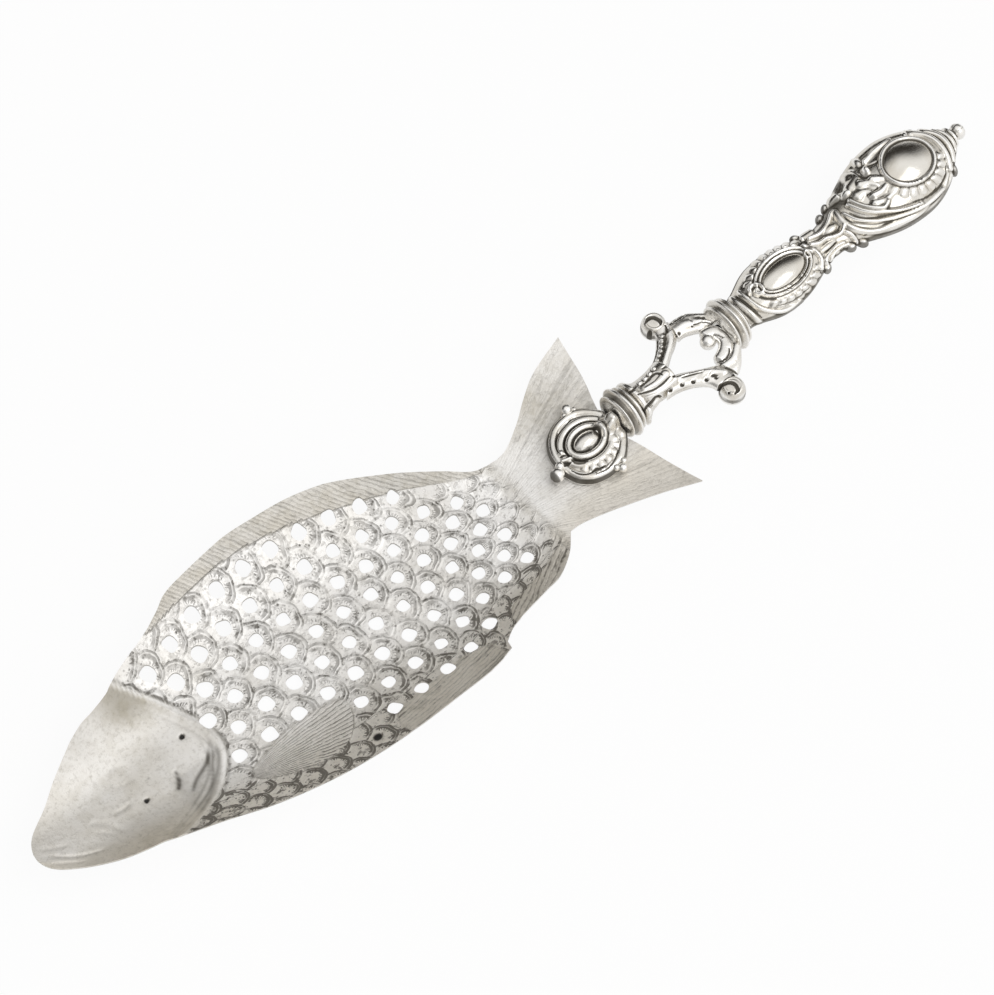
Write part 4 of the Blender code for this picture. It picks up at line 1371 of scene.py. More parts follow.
        # More tarnish towards the belly: partly patina in the engraving, partly painted shade on the belly
        # side.
        tarnish = FROSTED.least_tarnish + 0.85 * (1.0 - ease((share - 0.06) / 0.30))
        base = self.dish(x, y)
        upper = np.stack([x, y, base + self.sheet + relief.height], axis=-1)
        lower = np.stack([x, y, base + self.thin], axis=-1)
        return between(upper, lower, keep, {
            "tone": (np.clip(tone, 0.0, 1.0), 0.6), "tarnish": (tarnish, 0.3), "scaled": (scaled, 0.0),
            "row": (row + self.pattern_start[0], self.pattern_start[0]),
            "place": (place + self.pattern_start[1], self.pattern_start[1]),
            "phase": (phase, 0.0), "stroke": (stroke, 0.0), "brushed": (brushed, 0.2), "dark": (dark, 0.0)})

    def under(self, x: Array, y: Array, line: Points) -> Array:
        """Finds a fin of the belly.

        Args:
            x: Places along the fish.
            y: Places across it.
            line: The fin's upper line.

        Returns:
            1 below that line, 0 elsewhere.
        """
        drawn = smooth_line(line)
        within = ease((x - drawn[0, 0]) / 1.0) * ease((drawn[-1, 0] - x) / 1.0)
        return within * ease((np.interp(x, *drawn.T) - y + 0.2) / 0.5)

    def inside(self, x: Array, y: Array, loop: Array) -> Array:
        """Finds the inside of a closed line.

        Args:
            x: Places along the fish.
            y: Places across it.
            loop: The closed line.

        Returns:
            1 inside the line, with a soft border.
        """
        away, _ = nearest(x, y, loop)
        odd = np.zeros(x.shape, dtype=bool)
        for start, end in zip(loop, np.roll(loop, -1, axis=0)):
            crosses = (start[1] > y) != (end[1] > y)
            climb = end[1] - start[1] if end[1] != start[1] else 1e-9
            reach = (end[0] - start[0]) * (y - start[1]) / climb + start[0]
            odd ^= crosses & (x < reach)
        return ease(np.where(odd, away, -away) / 0.6 + 0.5)

    def head_lines(self, relief: Relief, x: Array, y: Array, gill: Array,
                   head: Array) -> Array:
        """Draws the gill cover, mouth, eye and pits.

        Args:
            relief: The relief that they are cut in.
            x: Places along the fish.
            y: Places across it.
            gill: The gill cover's edge.
            head: 1 on the head.

        Returns:
            How dark each point is: tarnish in the lines and pits, and painted shade on the lower gill cover
                and at the black spot by the belly fin.
        """
        dark = np.zeros(x.shape)
        away, _ = nearest(x, y, gill)
        relief.height += 0.40 * np.exp(-(away / 0.9) ** 2) - 0.25 * np.exp(-((away - 2.1) / 0.6) ** 2) * head
        dark += 0.48 * np.exp(-((away - 1.6) / 0.62) ** 2) * (1.0 - head)
        for offset, strength in ((1.2, 0.22), (2.3, 0.34), (3.6, 0.26)):
            off = away - offset - 0.28 * np.sin(0.7 * y + 3.0 * offset)
            dark += strength * np.exp(-(off / 0.42) ** 2) * head * ease((14.0 - y) / 8.0)
        # Painted shade on the lower part of the gill cover, where it slopes away from the light.
        dark += 0.27 * ease((5.2 - y) / 1.8) * ease((x + 124.0) / 2.5) * head
        dark += 0.24 * self.crown(x, y) * head
        for line, strength in (
                (self.mouth, 1.0), (self.upper_lip, 0.5), (self.lower_lip, 0.6), (self.jaw, 0.7),
                (self.jaw_fold, 0.6), (self.crease, 0.9), (self.inner_gill, 1.5), (self.cheek, 2.4)):
            off, share = nearest(x, y, smooth_line(line))
            fade = ease(np.minimum(share, 1.0 - share) / 0.2) * strength
            relief.height -= 0.22 * fade * np.exp(-(off / 0.6) ** 2)
            dark += 0.30 * fade * np.exp(-(off / 0.52) ** 2)
        far = np.hypot(x - self.eye[0], y - self.eye[1])
        relief.height += 0.10 * np.clip(1.0 - (far / self.eye_radius) ** 2, 0.0, 1.0)
        relief.height -= 0.09 * np.exp(-((far - self.eye_radius) / 0.6) ** 2)
        dark += 0.10 * np.exp(-((far - self.eye_radius) / 0.5) ** 2)
        # Each pit is painted black; the last one stands for shade seen through a hole.
        for spot_x, spot_y, size in self.pits:
            off = np.hypot(x - spot_x, y - spot_y)
            strength = min(size / 0.66, 1.0) ** 3
            relief.height -= 0.5 * strength * np.exp(-(off / 0.75) ** 2)
            dark += 1.8 * strength * np.exp(-(off / size) ** 4)
        return dark

    def fin_lines(self, x: Array, y: Array, dorsal: Array, ventral: Array, anal: Array,
                  fan: Array, tail: Array) -> tuple[Array, Array]:
        """Lays out the engraved rays of the fins.

        Args:
            x: Places along the fish.
            y: Places across it.
            dorsal: 1 on the fin of the back.
            ventral: 1 on the fore fin of the belly.
            anal: 1 on the rear fin of the belly.
            fan: 1 on the side fin.
            tail: 1 on the tail.

        Returns:
            The line count at each point and how strongly the lines are cut.
        """
        fan_angle = np.degrees(np.arctan2(y - self.fan_root[1], x - self.fan_root[0]))
        tail_angle = np.degrees(np.arctan2(y - self.tail_root[1], x - self.tail_root[0]))
        choices = [fan > 0.5, ventral > 0.5, anal > 0.5, dorsal > 0.5, tail > 0.05]
        phase = np.select(choices, [fan_angle / 2.1 + 0.02 * x, (y - 0.05 * x) / 1.15, (y - 0.5 * x) / 1.5,
                                    (x + 0.75 * y) / 1.25, tail_angle / 1.6 + 0.03 * x])
        stroke = np.select(choices, [0.62 * fan, 0.22 * ventral, 0.32 * anal, 0.42 * dorsal, 0.10 * tail])
        return phase, stroke

    def dress(self, drawing: Drawing, material: bpy.types.Material) -> None:
        """Makes the piece that stands for the bowl."""
        drawing.piece("fish_blade", self.build(), "fish_bowl", material)


def evenly(line: Array, count: int) -> Array:
    """A line's points, spread evenly along its length.

    Args:
        line: The line's points.
        count: How many points to give back.

    Returns:
        The evenly spread points.
    """
    length = np.concatenate([[0.0], np.cumsum(np.linalg.norm(np.diff(line, axis=0), axis=1))])
    wanted = np.linspace(0.0, length[-1], count)
    return np.stack([np.interp(wanted, length, line[:, axis]) for axis in range(2)], axis=1)


@dataclass
class TailMedallion:
    """The cast medallion on the tail: rings round an oval boss, with knobs, a ball and a leafy neck.

    Attributes:
        middle: The plate's middle in plan.
        oval: The boss's middle.
        seat: Height of the plate's underside.
        plate: Its thickness.
        face: Height of the face that the carving is drawn on.
        cells: Cells along each side of the plate's grid.
        knob_lift: How far the knobs' middles lie over the seat.
        knobs: Place along and across, further lift and radius of each knob, the ball first.
        outline: The plate's outline.
    """

    middle: Pair = (20.2, 0.2)
    oval: Pair = (20.7, 0.95)
    seat: float = 6.45
    plate: float = 1.9
    face: float = 10.3
    cells: int = 130
    knob_lift: float = 2.0
    knobs: Sequence[tuple[float, float, float, float]] = (
        (8.0, -1.4, 0.1, 2.0), (9.9, -0.2, 0.8, 1.25), (23.2, 11.1, 0.0, 1.65), (22.2, -11.5, -0.2, 1.30),
        (20.9, -10.4, 0.0, 0.95), (23.7, -10.2, 0.0, 0.95), (21.6, 10.4, -0.3, 0.85),
        (24.8, 9.9, -0.3, 0.85))
    outline: Points = ((30.3, 0.2), (30.3, 4.8), (28.3, 7.5), (25.1, 10.2), (20.4, 10.9), (16.0, 10.1),
                       (12.6, 7.7), (10.3, 4.0), (9.7, 0.2), (9.8, -3.4), (11.0, -6.6), (13.7, -9.2),
                       (17.1, -10.5), (20.6, -10.8), (24.5, -10.1), (27.7, -7.7), (30.3, -4.8), (30.3, 0.2))

    def edge(self, angle: Array) -> Array:
        """The plate's radius.

        Args:
            angle: Angles about its middle.

        Returns:
            Radii.
        """
        points = np.asarray(self.outline) - np.asarray(self.middle)
        turns = np.unwrap(np.arctan2(points[:, 1], points[:, 0]))
        return np.interp(angle % math.tau, turns, np.hypot(*points.T))

    def top(self, x: Array, y: Array, share: Array) -> tuple[Array, Array]:
        """Height and darkening of the carved face: tarnish in its grooves, and painted shade on its rim.

        Args:
            x: Places along the spoon.
            y: Places across it.
            share: Shares of the plate's radius.

        Returns:
            Heights above the table, and darkening.
        """
        relief = drawn_at(x, y, self.face)
        relief.raise_to(0.75 * rounded((share - 0.882) / 0.114))
        relief.ring(self.oval, (7.7, 6.3), 1.15, 0.70)
        relief.ring(self.oval, (5.35, 4.0), 1.05, 1.00)
        relief.dome(self.oval, (4.2, 2.6), 1.60)
        relief.ridge(np.array([(29.0, 0.3), (31.2, 0.5)]), 2.5, 1.7)
        relief.dome((28.2, -0.9), (1.9, 1.6), 1.7)
        relief.dome((29.4, -3.6), (2.2, 2.0), 1.3)
        relief.dome((26.6, -3.4), (2.0, 1.6), 0.9)
        relief.flutes((20.7, 0.4), (6.6, 5.3), (9.2, 8.2), (215.0, 320.0), 6, 0.9)
        relief.ridge(smooth_line(((11.8, 0.9), (12.9, 0.4), (14.4, -0.2))), 0.6, 1.2)
        relief.dome((13.2, 2.9), (1.0, 0.9), 1.1)
        for line, half, depth, stain in (
                (((12.7, 2.6), (13.4, 4.6), (14.9, 6.4), (17.2, 7.5), (20.0, 8.0), (22.5, 8.2), (25.0, 7.0),
                  (27.4, 5.0), (28.7, 2.8)), 0.36, 0.40, 0.85),
                (((11.7, -2.8), (12.5, -4.8), (13.9, -6.2), (15.5, -6.8), (17.0, -6.8), (18.0, -7.4),
                  (19.4, -7.7)), 0.40, 0.45, 0.85),
                (((15.8, -8.0), (19.0, -8.8), (22.0, -8.3), (25.0, -7.0), (27.6, -5.2)), 0.36, 0.40, 0.50),
                (((10.6, 0.4), (11.7, -0.3), (13.0, -0.9)), 0.75, 0.80, 1.00),
                (((12.2, 2.1), (13.8, 1.6)), 0.40, 0.50, 0.85),
                (((27.9, 1.1), (29.4, 1.7)), 0.40, 0.50, 0.80),
                (((13.9, -0.9), (14.8, -2.4), (16.6, -3.6)), 0.90, 0.50, 0.70)):
            relief.groove(smooth_line(line), half, depth, stain)
        # The last number of each oval groove is the side that is painted darker as shade.
        relief.ring_groove(self.oval, (6.45, 5.05), 0.42, 0.35, 0.90, 125.0)
        relief.ring_groove(self.oval, (4.45, 2.75), 0.42, 0.35, 0.95, 80.0)
        relief.groove(smooth_line(((16.8, 0.2), (17.8, -0.9), (20.4, -1.3))), 0.55, 0.20, 0.85)
        body = self.plate * (0.30 + 0.70 * np.sqrt(np.clip(1.0 - share ** 16, 0.0, 1.0)))
        # Painted shade on the plate's rim and side wall.
        stain = np.maximum(relief.stain, ease((share - 0.93) / 0.03))
        neck = (2.15 + 1.2 * ease((x - 27.0) / 2.5)) * ease((x - 24.0) / 1.4) * np.exp(-(y / 2.3) ** 4)
        return self.seat + body + neck + relief.height + 0.7 * (1.0 - share ** 2), stain

    def build(self) -> Skin:
        """Makes the plate with its knobs and ball.

        Returns:
            The medallion's skin.
        """
        low = self.seat + self.knob_lift
        knobs = [ball((x, y, low + lift), radius) for x, y, lift, radius in self.knobs]
        first = knobs[0]
        # Painted shade on the ball's side towards the nose.
        first.values["dark"] = 0.95 * ease((self.knobs[0][0] - 0.1 - first.points[:, 0]) / 0.9)
        return disc(self.middle, self.edge, self.seat, self.top, self.cells).with_parts(knobs)

    def dress(self, drawing: Drawing, material: bpy.types.Material) -> None:
        """Makes the piece that stands for the cartouche."""
        drawing.piece("tail_medallion", self.build(), "tail_cartouche", material, 12, 0.22)


@dataclass
class Mouldings:
    """A turned collar of rings and grooves, with a bore.

    Attributes:
        name: The piece's name.
        node: The CAD node that it stands for.
        start: Where it starts along the handle's axis.
        end: Where it ends.
        bore: Radius of the bore.
        rings: Places from the start, and radii.
    """

    name: str
    node: str
    start: float
    end: float
    bore: float
    rings: Points

    def build(self) -> Skin:
        """Turns the collar.

        Returns:
            Its skin.
        """
        corners = [(self.start + place, radius) for place, radius in self.rings]
        outer = evenly(smooth_line(corners, 6), len(corners) * 7)
        inner = np.array([(self.end, self.bore), (self.start, self.bore)])
        crest = np.max([np.roll(outer[:, 1], shift) for shift in range(-8, 9)], axis=0)
        step = np.arange(len(outer))
        clear = ease((np.minimum(step, step[::-1]) - 6.0) / 6.0)
        stain = np.concatenate([0.85 * clear * ease((crest - outer[:, 1] - 0.48) / 0.40), [0.2, 0.2]])
        return turned(np.vstack([outer, inner]), 96, loop=True, stain=stain)

    def dress(self, drawing: Drawing, material: bpy.types.Material) -> None:
        """Makes the piece that stands for the collar."""
        drawing.piece(self.name, self.build(), self.node, material, 10, 0.14)


STEM_MOULDINGS = Mouldings("stem_mouldings", "stem_collar", 30.52, 36.2, 1.65, (
    (0.0, 5.2), (0.15, 6.0), (0.7, 6.7), (1.25, 6.1), (1.6, 5.7), (2.0, 6.4), (2.55, 7.5), (3.2, 7.55),
    (3.6, 6.7), (3.85, 5.9), (4.2, 6.3), (4.7, 6.8), (5.2, 6.5), (5.55, 5.9), (5.68, 5.2)))
HANDLE_MOULDINGS = Mouldings("handle_mouldings", "handle_collar", 69.92, 76.1, 1.95, (
    (0.0, 5.8), (0.2, 6.7), (0.8, 7.2), (1.3, 6.7), (1.6, 6.4), (2.0, 7.3), (2.6, 8.1), (3.2, 7.9),
    (3.6, 7.0), (3.9, 6.6), (4.3, 7.1), (4.7, 7.3), (5.1, 6.8), (5.5, 6.0), (5.9, 5.6), (6.18, 5.0)))


@dataclass
class LeafSocket:
    """The socket under the yoke, with its flange and leaf carving."""

    start: float = 36.52
    stations: Points = ((0.0, 6.0), (0.45, 6.5), (1.25, 6.5), (1.7, 6.0), (2.6, 5.2), (3.6, 4.6),
                        (5.2, 4.35), (7.2, 4.3), (9.2, 4.4), (11.2, 4.7), (12.6, 4.9), (13.3, 4.6),
                        (13.68, 3.6))

    def strokes(self, leaf: Relief) -> None:
        """Carves the tongue, the rope of beads and the rolled leaf.

        Args:
            leaf: The relief that they are drawn in.
        """
        leaf.ridge(smooth_line(((37.6, -5.0), (39.5, -4.3), (42.0, -4.1), (43.2, -4.6))), 0.95, 0.60)
        leaf.ridges(((((42.6, 1.0), (46.0, 0.3), (49.4, 0.6)), 1.2, 0.50),
                     (((40.0, -0.6), (44.0, -2.2), (48.0, -2.6), (51.0, -2.4)), 0.9, 0.45)), (0.4, 1.0))
        leaf.beads(smooth_line(((42.6, 3.2), (45.2, 3.2), (48.2, 3.8))), 4, (0.85, 0.60), 0.65)
        for line, half, depth, stain in (
                (((39.6, 1.3), (42.0, 0.1), (44.2, -0.8), (47.0, -1.1), (49.8, -0.8)), 0.38, 0.40, 0.95),
                (((41.8, 2.4), (44.4, 2.4), (47.2, 2.7), (48.3, 1.9), (48.5, 0.9)), 0.36, 0.40, 0.95),
                (((37.4, 3.6), (39.4, 3.1), (41.4, 3.2)), 0.45, 0.35, 0.9),
                (((36.3, -5.5), (37.1, -4.0), (38.8, -3.2), (41.0, -3.0), (43.0, -2.8), (44.0, -3.8),
                  (44.1, -5.2)), 0.48, 0.50, 1.0),
                (((49.9, 2.4), (51.5, 2.0), (52.0, 0.6)), 0.40, 0.40, 0.9),
                (((50.2, -1.4), (52.0, -2.0)), 0.35, 0.35, 0.8)):
            leaf.groove(smooth_line(line), half, depth, stain)

    def build(self) -> Skin:
        """Turns the socket and carves it.

        Returns:
            Its skin.
        """
        profile = evenly(smooth_line(self.stations, 8), 110)
        profile[:, 0] += self.start
        return turned(profile, 150, strokes=self.strokes)

    def dress(self, drawing: Drawing, material: bpy.types.Material) -> None:
        """Makes the piece that stands for the socket."""
        drawing.piece("leaf_socket", self.build(), "yoke_socket", material, 12, 0.20)


@dataclass
class ScrollArm:
    """One arm of the openwork yoke, which ends in a volute.

    Attributes:
        side: Its side of the spoon.
        left: Its left edge in plan.
        right: Its right edge.
        volute: The volute's middle.
        radius: The volute's radius.
        tall: Half the arm's height.
        reach: Half the volute's height.
    """

    side: Side
    left: Points
    right: Points
    volute: Pair
    radius: float
    tall: float = 1.9
    reach: float = 2.3

    def strokes(self, relief: Relief) -> None:
        """Carves the rope of beads, the black spots, and the curl of the volute.

        Args:
            relief: The relief that they are drawn in.
        """
        if self.side is Side.BACK:
            rope = smooth_line(((48.2, 4.0), (51.6, 5.3), (54.4, 7.1), (57.0, 9.6)))
            relief.beads(rope, 8, (0.62, 0.66), 0.85)
            relief.ridge(smooth_line(((51.0, 2.6), (54.5, 4.6), (57.6, 6.6), (59.6, 8.8))), 1.15, 0.55)
            grooves = (
                (((47.6, 3.3), (50.0, 3.8), (52.0, 4.8), (54.4, 6.1), (56.6, 7.8), (58.1, 9.6)),
                 0.34, 0.90),
                (((48.4, 4.7), (51.4, 6.1), (54.0, 8.0), (55.8, 9.9)), 0.26, 0.55),
                (((58.8, 9.2), (59.6, 10.3), (60.2, 11.4)), 0.42, 0.90),
                (((56.8, 15.6), (58.2, 15.9), (59.5, 15.2), (60.0, 13.4), (59.4, 12.4)), 0.72, 1.00))
            spots = ((55.7, 12.8, 0.95),)
        else:
            relief.ridge(smooth_line(((50.6, -2.4), (54.6, -4.2), (58.6, -6.6), (61.6, -9.6))), 0.9, 0.45)
            grooves = (
                (((52.0, -3.1), (55.0, -4.8), (57.8, -6.5)), 0.38, 0.80),
                (((58.4, -7.5), (58.8, -8.8), (58.6, -10.0)), 0.50, 1.00),
                (((46.6, -5.0), (50.6, -6.0), (53.6, -7.8), (55.8, -10.2)), 0.30, 0.45),
                (((56.4, -12.5), (58.0, -12.0), (60.0, -12.7), (60.9, -14.2), (60.3, -16.0), (59.0, -16.3)),
                 0.68, 1.00))
            # The first four spots are painted shade under the belly arm's beads, cut as small black pits.
            spots = ((47.2, -3.8, 0.70), (50.6, -4.8, 0.70), (53.4, -6.2, 0.70), (56.4, -8.2, 0.66),
                     (55.9, -15.5, 0.65), (57.3, -17.4, 1.00), (58.0, -15.0, 0.40))
        relief.grooves(grooves, 0.45)
        for x, y, radius in spots:
            relief.spot((x, y), radius, 0.8)

    def curl(self, x: Array, y: Array, share: Array) -> tuple[Array, Array]:
        """Height and darkening of the volute's face: tarnish in its lines, and painted shade on its rim.

        Args:
            x: Places along the spoon.
            y: Places across it.
            share: Shares of the volute's radius.

        Returns:
            Heights above the table, and darkening.
        """
        relief = drawn_at(x, y, AXIS_Z + self.reach)
        relief.raise_to(0.35 * rounded((share - 0.78) / 0.22))
        self.strokes(relief)
        body = 2.0 * self.reach * (0.25 + 0.75 * np.sqrt(np.clip(1.0 - share ** 4, 0.0, 1.0)))
        # Painted shade on the volute's rim and side wall.
        stain = np.maximum(relief.stain, 0.8 * ease((share - 0.95) / 0.03))
        return AXIS_Z - self.reach + body + relief.height, stain

    def build(self) -> Skin:
        """Makes the arm and its volute.

        Returns:
            Their skin.
        """
        arm = bar(self.left, self.right, 120, self.tall, self.strokes)
        return arm.with_parts([disc(self.volute, self.volute_edge, AXIS_Z - self.reach, self.curl, 60)])

    def volute_edge(self, angle: Array) -> Array:
        """The volute's radius, the same at each angle."""
        return np.full(angle.shape, self.radius)

    def dress(self, drawing: Drawing, material: bpy.types.Material) -> None:
        """Makes the piece that stands for the arm."""
        name = self.side.name.lower()
        drawing.piece("scroll_arm_" + name, self.build(), "yoke_arm_" + name, material, 10, 0.20)


BACK_ARM = ScrollArm(
    Side.BACK,
    left=((46.5, 4.3), (49.0, 5.0), (51.5, 6.4), (53.6, 8.2), (55.2, 9.9), (55.9, 11.6)),
    right=((50.8, 0.8), (52.6, 1.9), (55.0, 3.4), (57.6, 4.7), (59.8, 6.6), (61.3, 11.0)),
    volute=(58.0, 13.5), radius=3.55)
BELLY_ARM = ScrollArm(
    Side.BELLY,
    left=((50.0, -1.2), (52.5, -2.2), (56.0, -4.3), (59.0, -6.0), (61.3, -7.3), (62.8, -9.2), (63.4, -12.4)),
    right=((44.5, -5.3), (48.0, -5.7), (51.0, -6.7), (53.8, -8.4), (55.8, -10.5), (56.4, -12.6)),
    volute=(59.6, -15.0), radius=3.65)


@dataclass
class CollarScroll:
    """One scroll of the yoke that carries the handle's collar.

    Attributes:
        side: Its side of the spoon.
        left: Its left edge in plan.
        right: Its right edge.
        tall: Half its height.
        curl: The middle line of the belly side's open curl.
        curl_half: Half the curl's width and height.
        curl_ball: The middle of the ball that the curl ends in.
        curl_radius: That ball's radius.
    """

    side: Side
    left: Points
    right: Points
    tall: float = 1.8
    curl: Points = ((64.5, 1.0), (66.2, 1.2), (68.0, 0.3), (68.6, -1.8), (68.0, -3.9), (66.2, -5.5),
                    (63.8, -6.5), (62.0, -6.9))
    curl_half: float = 2.0
    curl_ball: tuple[float, float, float] = (64.9, -0.3, AXIS_Z + 0.2)
    curl_radius: float = 2.25

    def strokes(self, relief: Relief) -> None:
        """Carves the borders and channels.

        Args:
            relief: The relief that they are drawn in.
        """
        if self.side is Side.BACK:
            relief.ridge(smooth_line(((61.2, 8.4), (64.4, 8.0), (67.4, 6.0), (69.4, 3.0))), 1.0, 0.35)
            grooves = (
                (((62.0, 10.5), (64.0, 10.3), (66.3, 10.0)), 0.34, 0.85),
                (((66.0, 7.6), (68.2, 6.9), (69.8, 5.3)), 0.34, 0.85),
                (((65.0, 6.2), (66.6, 5.9), (68.6, 4.5), (69.8, 2.4)), 0.34, 0.75),
                (((60.9, 6.6), (61.3, 7.4)), 0.50, 0.90))
        else:
            relief.ridge(smooth_line(((63.2, -8.2), (66.4, -8.2), (69.6, -6.4))), 1.1, 0.45)
            grooves = (
                (((62.5, -6.5), (64.4, -7.1), (66.4, -6.6), (67.8, -5.4)), 0.50, 0.95),
                (((61.0, -7.0), (62.4, -8.7), (63.3, -10.7), (63.8, -12.8)), 0.55, 1.00),
                (((67.5, 0.4), (68.4, -0.6), (68.7, -2.0)), 0.35, 0.55),
                (((70.0, 0.8), (70.3, -1.6), (69.9, -4.0)), 0.40, 0.70))
        relief.grooves(grooves, 0.35)

    def build(self) -> Skin:
        """Makes the scroll, and on the belly side the open curl that springs from it.

        Returns:
            Its skin.
        """
        band = bar(self.left, self.right, 70, self.tall, self.strokes)
        if self.side is Side.BACK:
            return band
        steps = 80
        share = np.linspace(0.0, 1.0, steps)
        taper = np.sqrt(np.clip(np.minimum(share + 0.02, 1.02 - share) / 0.08, 0.05, 1.0))
        curl = swept(evenly(smooth_line(self.curl), steps), self.curl_half * taper, self.strokes, 0.25)
        return band.with_parts([curl, ball(self.curl_ball, self.curl_radius)])

    def dress(self, drawing: Drawing, material: bpy.types.Material) -> None:
        """Makes the piece that stands for the scroll.

        Args:
            drawing: The drawing's place in the frame.
            material: The piece's material.
        """
        name = self.side.name.lower()
        node = "bridge_scroll_" + name
        drawing.piece("collar_scroll_" + name, self.build(), node, material, 10, 0.20)


BACK_SCROLL = CollarScroll(
    Side.BACK,
    left=((60.6, 10.9), (62.4, 10.9), (64.0, 10.6), (66.3, 10.0), (68.3, 8.4), (69.9, 6.8)),
    right=((59.6, 5.2), (60.8, 5.3), (62.4, 4.9), (64.4, 3.9), (66.0, 3.0), (69.9, 2.5)))
BELLY_SCROLL = CollarScroll(
    Side.BELLY,
    left=((61.6, -6.6), (64.0, -7.1), (66.4, -6.8), (68.4, -5.2), (69.9, -3.0)),
    right=((62.6, -13.2), (64.6, -12.6), (66.4, -11.5), (68.2, -9.8), (69.9, -8.0)))


@dataclass
class HandleShell:
    """One stamped half of the hollow handle, with its scrolls, shells and bosses.

    Attributes:
        face: Which half it is.
        start: Where the handle starts along its axis.
        end: Where it ends.
        flat: Its thickness as a share of its width.
        wall: Thickness of the sheet.
        seam: Half the gap between the halves.
        rows: Points of the grid along the handle.
        columns: Points of the grid round the half.
        places: Crest, waist and crest, as shares of the length.
        radii: Half widths at the neck, first crest, waist, second crest and end.
        knobs: Where the pairs of beads on the seam lie, as shares of the length.
        knob_radius: Radius of those beads.
        almond: Middle of the first boss.
        oval: Middle of the second boss.
        shadows: Middle, half length and width, and strength of each patch of painted shade.
    """

    face: Face
    start: float = 76.41
    end: float = 159.0
    flat: float = 0.727
    wall: float = 0.95
    seam: float = 0.04
    rows: int = 401
    columns: int = 121
    places: tuple[float, float, float] = (0.170, 0.405, 0.757)
    radii: tuple[float, float, float, float, float] = (5.2, 8.9, 5.1, 12.85, 3.4)
    knobs: tuple[float, ...] = (0.345, 0.458, 0.499, 0.926)
    knob_radius: float = 1.5
    almond: Pair = (94.8, 1.4)
    oval: Pair = (144.4, 2.9)
    shadows: Sequence[tuple[Pair, Pair, float]] = (
        ((78.5, 0.0), (2.4, 6.5), 0.70), ((116.0, 6.4), (10.0, 1.5), 0.9), ((124.5, 10.4), (3.4, 1.5), 1.2),
        ((121.5, -9.0), (5.0, 1.6), 1.2))

    def radius(self, x: Array) -> Array:
        """The handle's half width, where two lobes fall away to neck, waist and end.

        Args:
            x: Places along the handle.

        Returns:
            Half widths.
        """
        neck, lobe, waist, great, tip = self.radii
        first, middle, second = self.places
        share = (x - self.start) / (self.end - self.start)

        def fall(part: Array) -> Array:
            """How far a lobe has fallen away, full near its crest."""
            return ease(np.clip(part, 0.0, 1.0) ** 1.3)

        sides = [lobe + (neck - lobe) * fall(1.0 - share / first),
                 lobe + (waist - lobe) * fall((share - first) / (middle - first)),
                 great + (waist - great) * fall((second - share) / (second - middle))]
        last = great + (tip - great) * np.clip((share - second) / (1.0 - second), 0.0, 1.0) ** 1.9
        return np.select([share < first, share < middle, share < second], sides, last)

    def boss(self, relief: Relief, middle: Pair, halves: Pair,
             rise: float) -> Array:
        """The height of a smooth low boss on a plinth."""
        far = relief.off_middle(middle, halves)
        return np.where(far < 1.0, 0.45 + rise * (1.0 - far ** 2), 0.0)

    def first_lobe(self, relief: Relief) -> None:
        """The neck leaf, the almond boss with its frames and volutes, and the shells beside it.

        Args:
            relief: The relief that they are drawn in.
        """
        almond = self.almond
        relief.flutes(almond, (10.2, 6.7), (12.6, 9.8), (212.0, 328.0), 8, 1.0)
        relief.flutes(almond, (9.9, 5.7), (12.6, 8.7), (30.0, 156.0), 9, 1.25)
        relief.raise_to(self.boss(relief, almond, (7.4, 3.75), 0.9))
        relief.ring(almond, (8.0, 4.35), 0.55, 1.15)
        relief.ring(almond, (9.2, 5.35), 0.62, 1.4)
        relief.ridges((
            (((79.0, 5.0), (79.4, 0.0), (79.6, -5.5)), 1.0, 1.0),
            (((81.7, 5.0), (81.9, 0.0), (82.7, -3.0), (84.5, -5.5), (86.5, -7.1), (89.0, -8.1),
              (92.5, -8.6)), 0.85, 1.2),
            (((104.8, 3.4), (106.0, 0.4), (105.6, -2.6), (103.6, -5.0)), 0.75, 1.1)))
        relief.ridge(spiral((85.5, 1.9), 2.2, 0.4, 150.0, -420.0), 0.80, 1.8, (1.0, 0.85))
        relief.ridge(spiral((103.5, 0.6), 1.4, 0.4, 0.0, 400.0), 0.65, 1.55, (1.0, 0.85))
        # The last number of an oval groove is the side that is painted darker as shade.
        relief.ring_groove(almond, (7.5, 3.85), 0.30, 0.20, 0.75, 95.0)
        relief.ring_groove(almond, (8.6, 4.85), 0.30, 0.25, 0.55)
        relief.ring_groove(almond, (9.95, 6.05), 0.30, 0.20, 0.80, 90.0)
        relief.grooves((
            (((76.9, 5.0), (77.2, 0.0), (77.4, -5.0)), 0.55, 0.9),
            (((80.4, 5.0), (80.7, 0.0), (81.0, -5.0)), 0.45, 0.9),
            (((84.6, 0.2), (85.6, -1.6), (87.6, -3.4)), 0.50, 0.95),
            (((102.4, 3.6), (105.4, 2.0)), 0.40, 0.9),
            (((86.2, -5.0), (89.4, -6.6), (93.0, -7.2), (97.0, -6.9)), 0.36, 0.7)), 0.35)

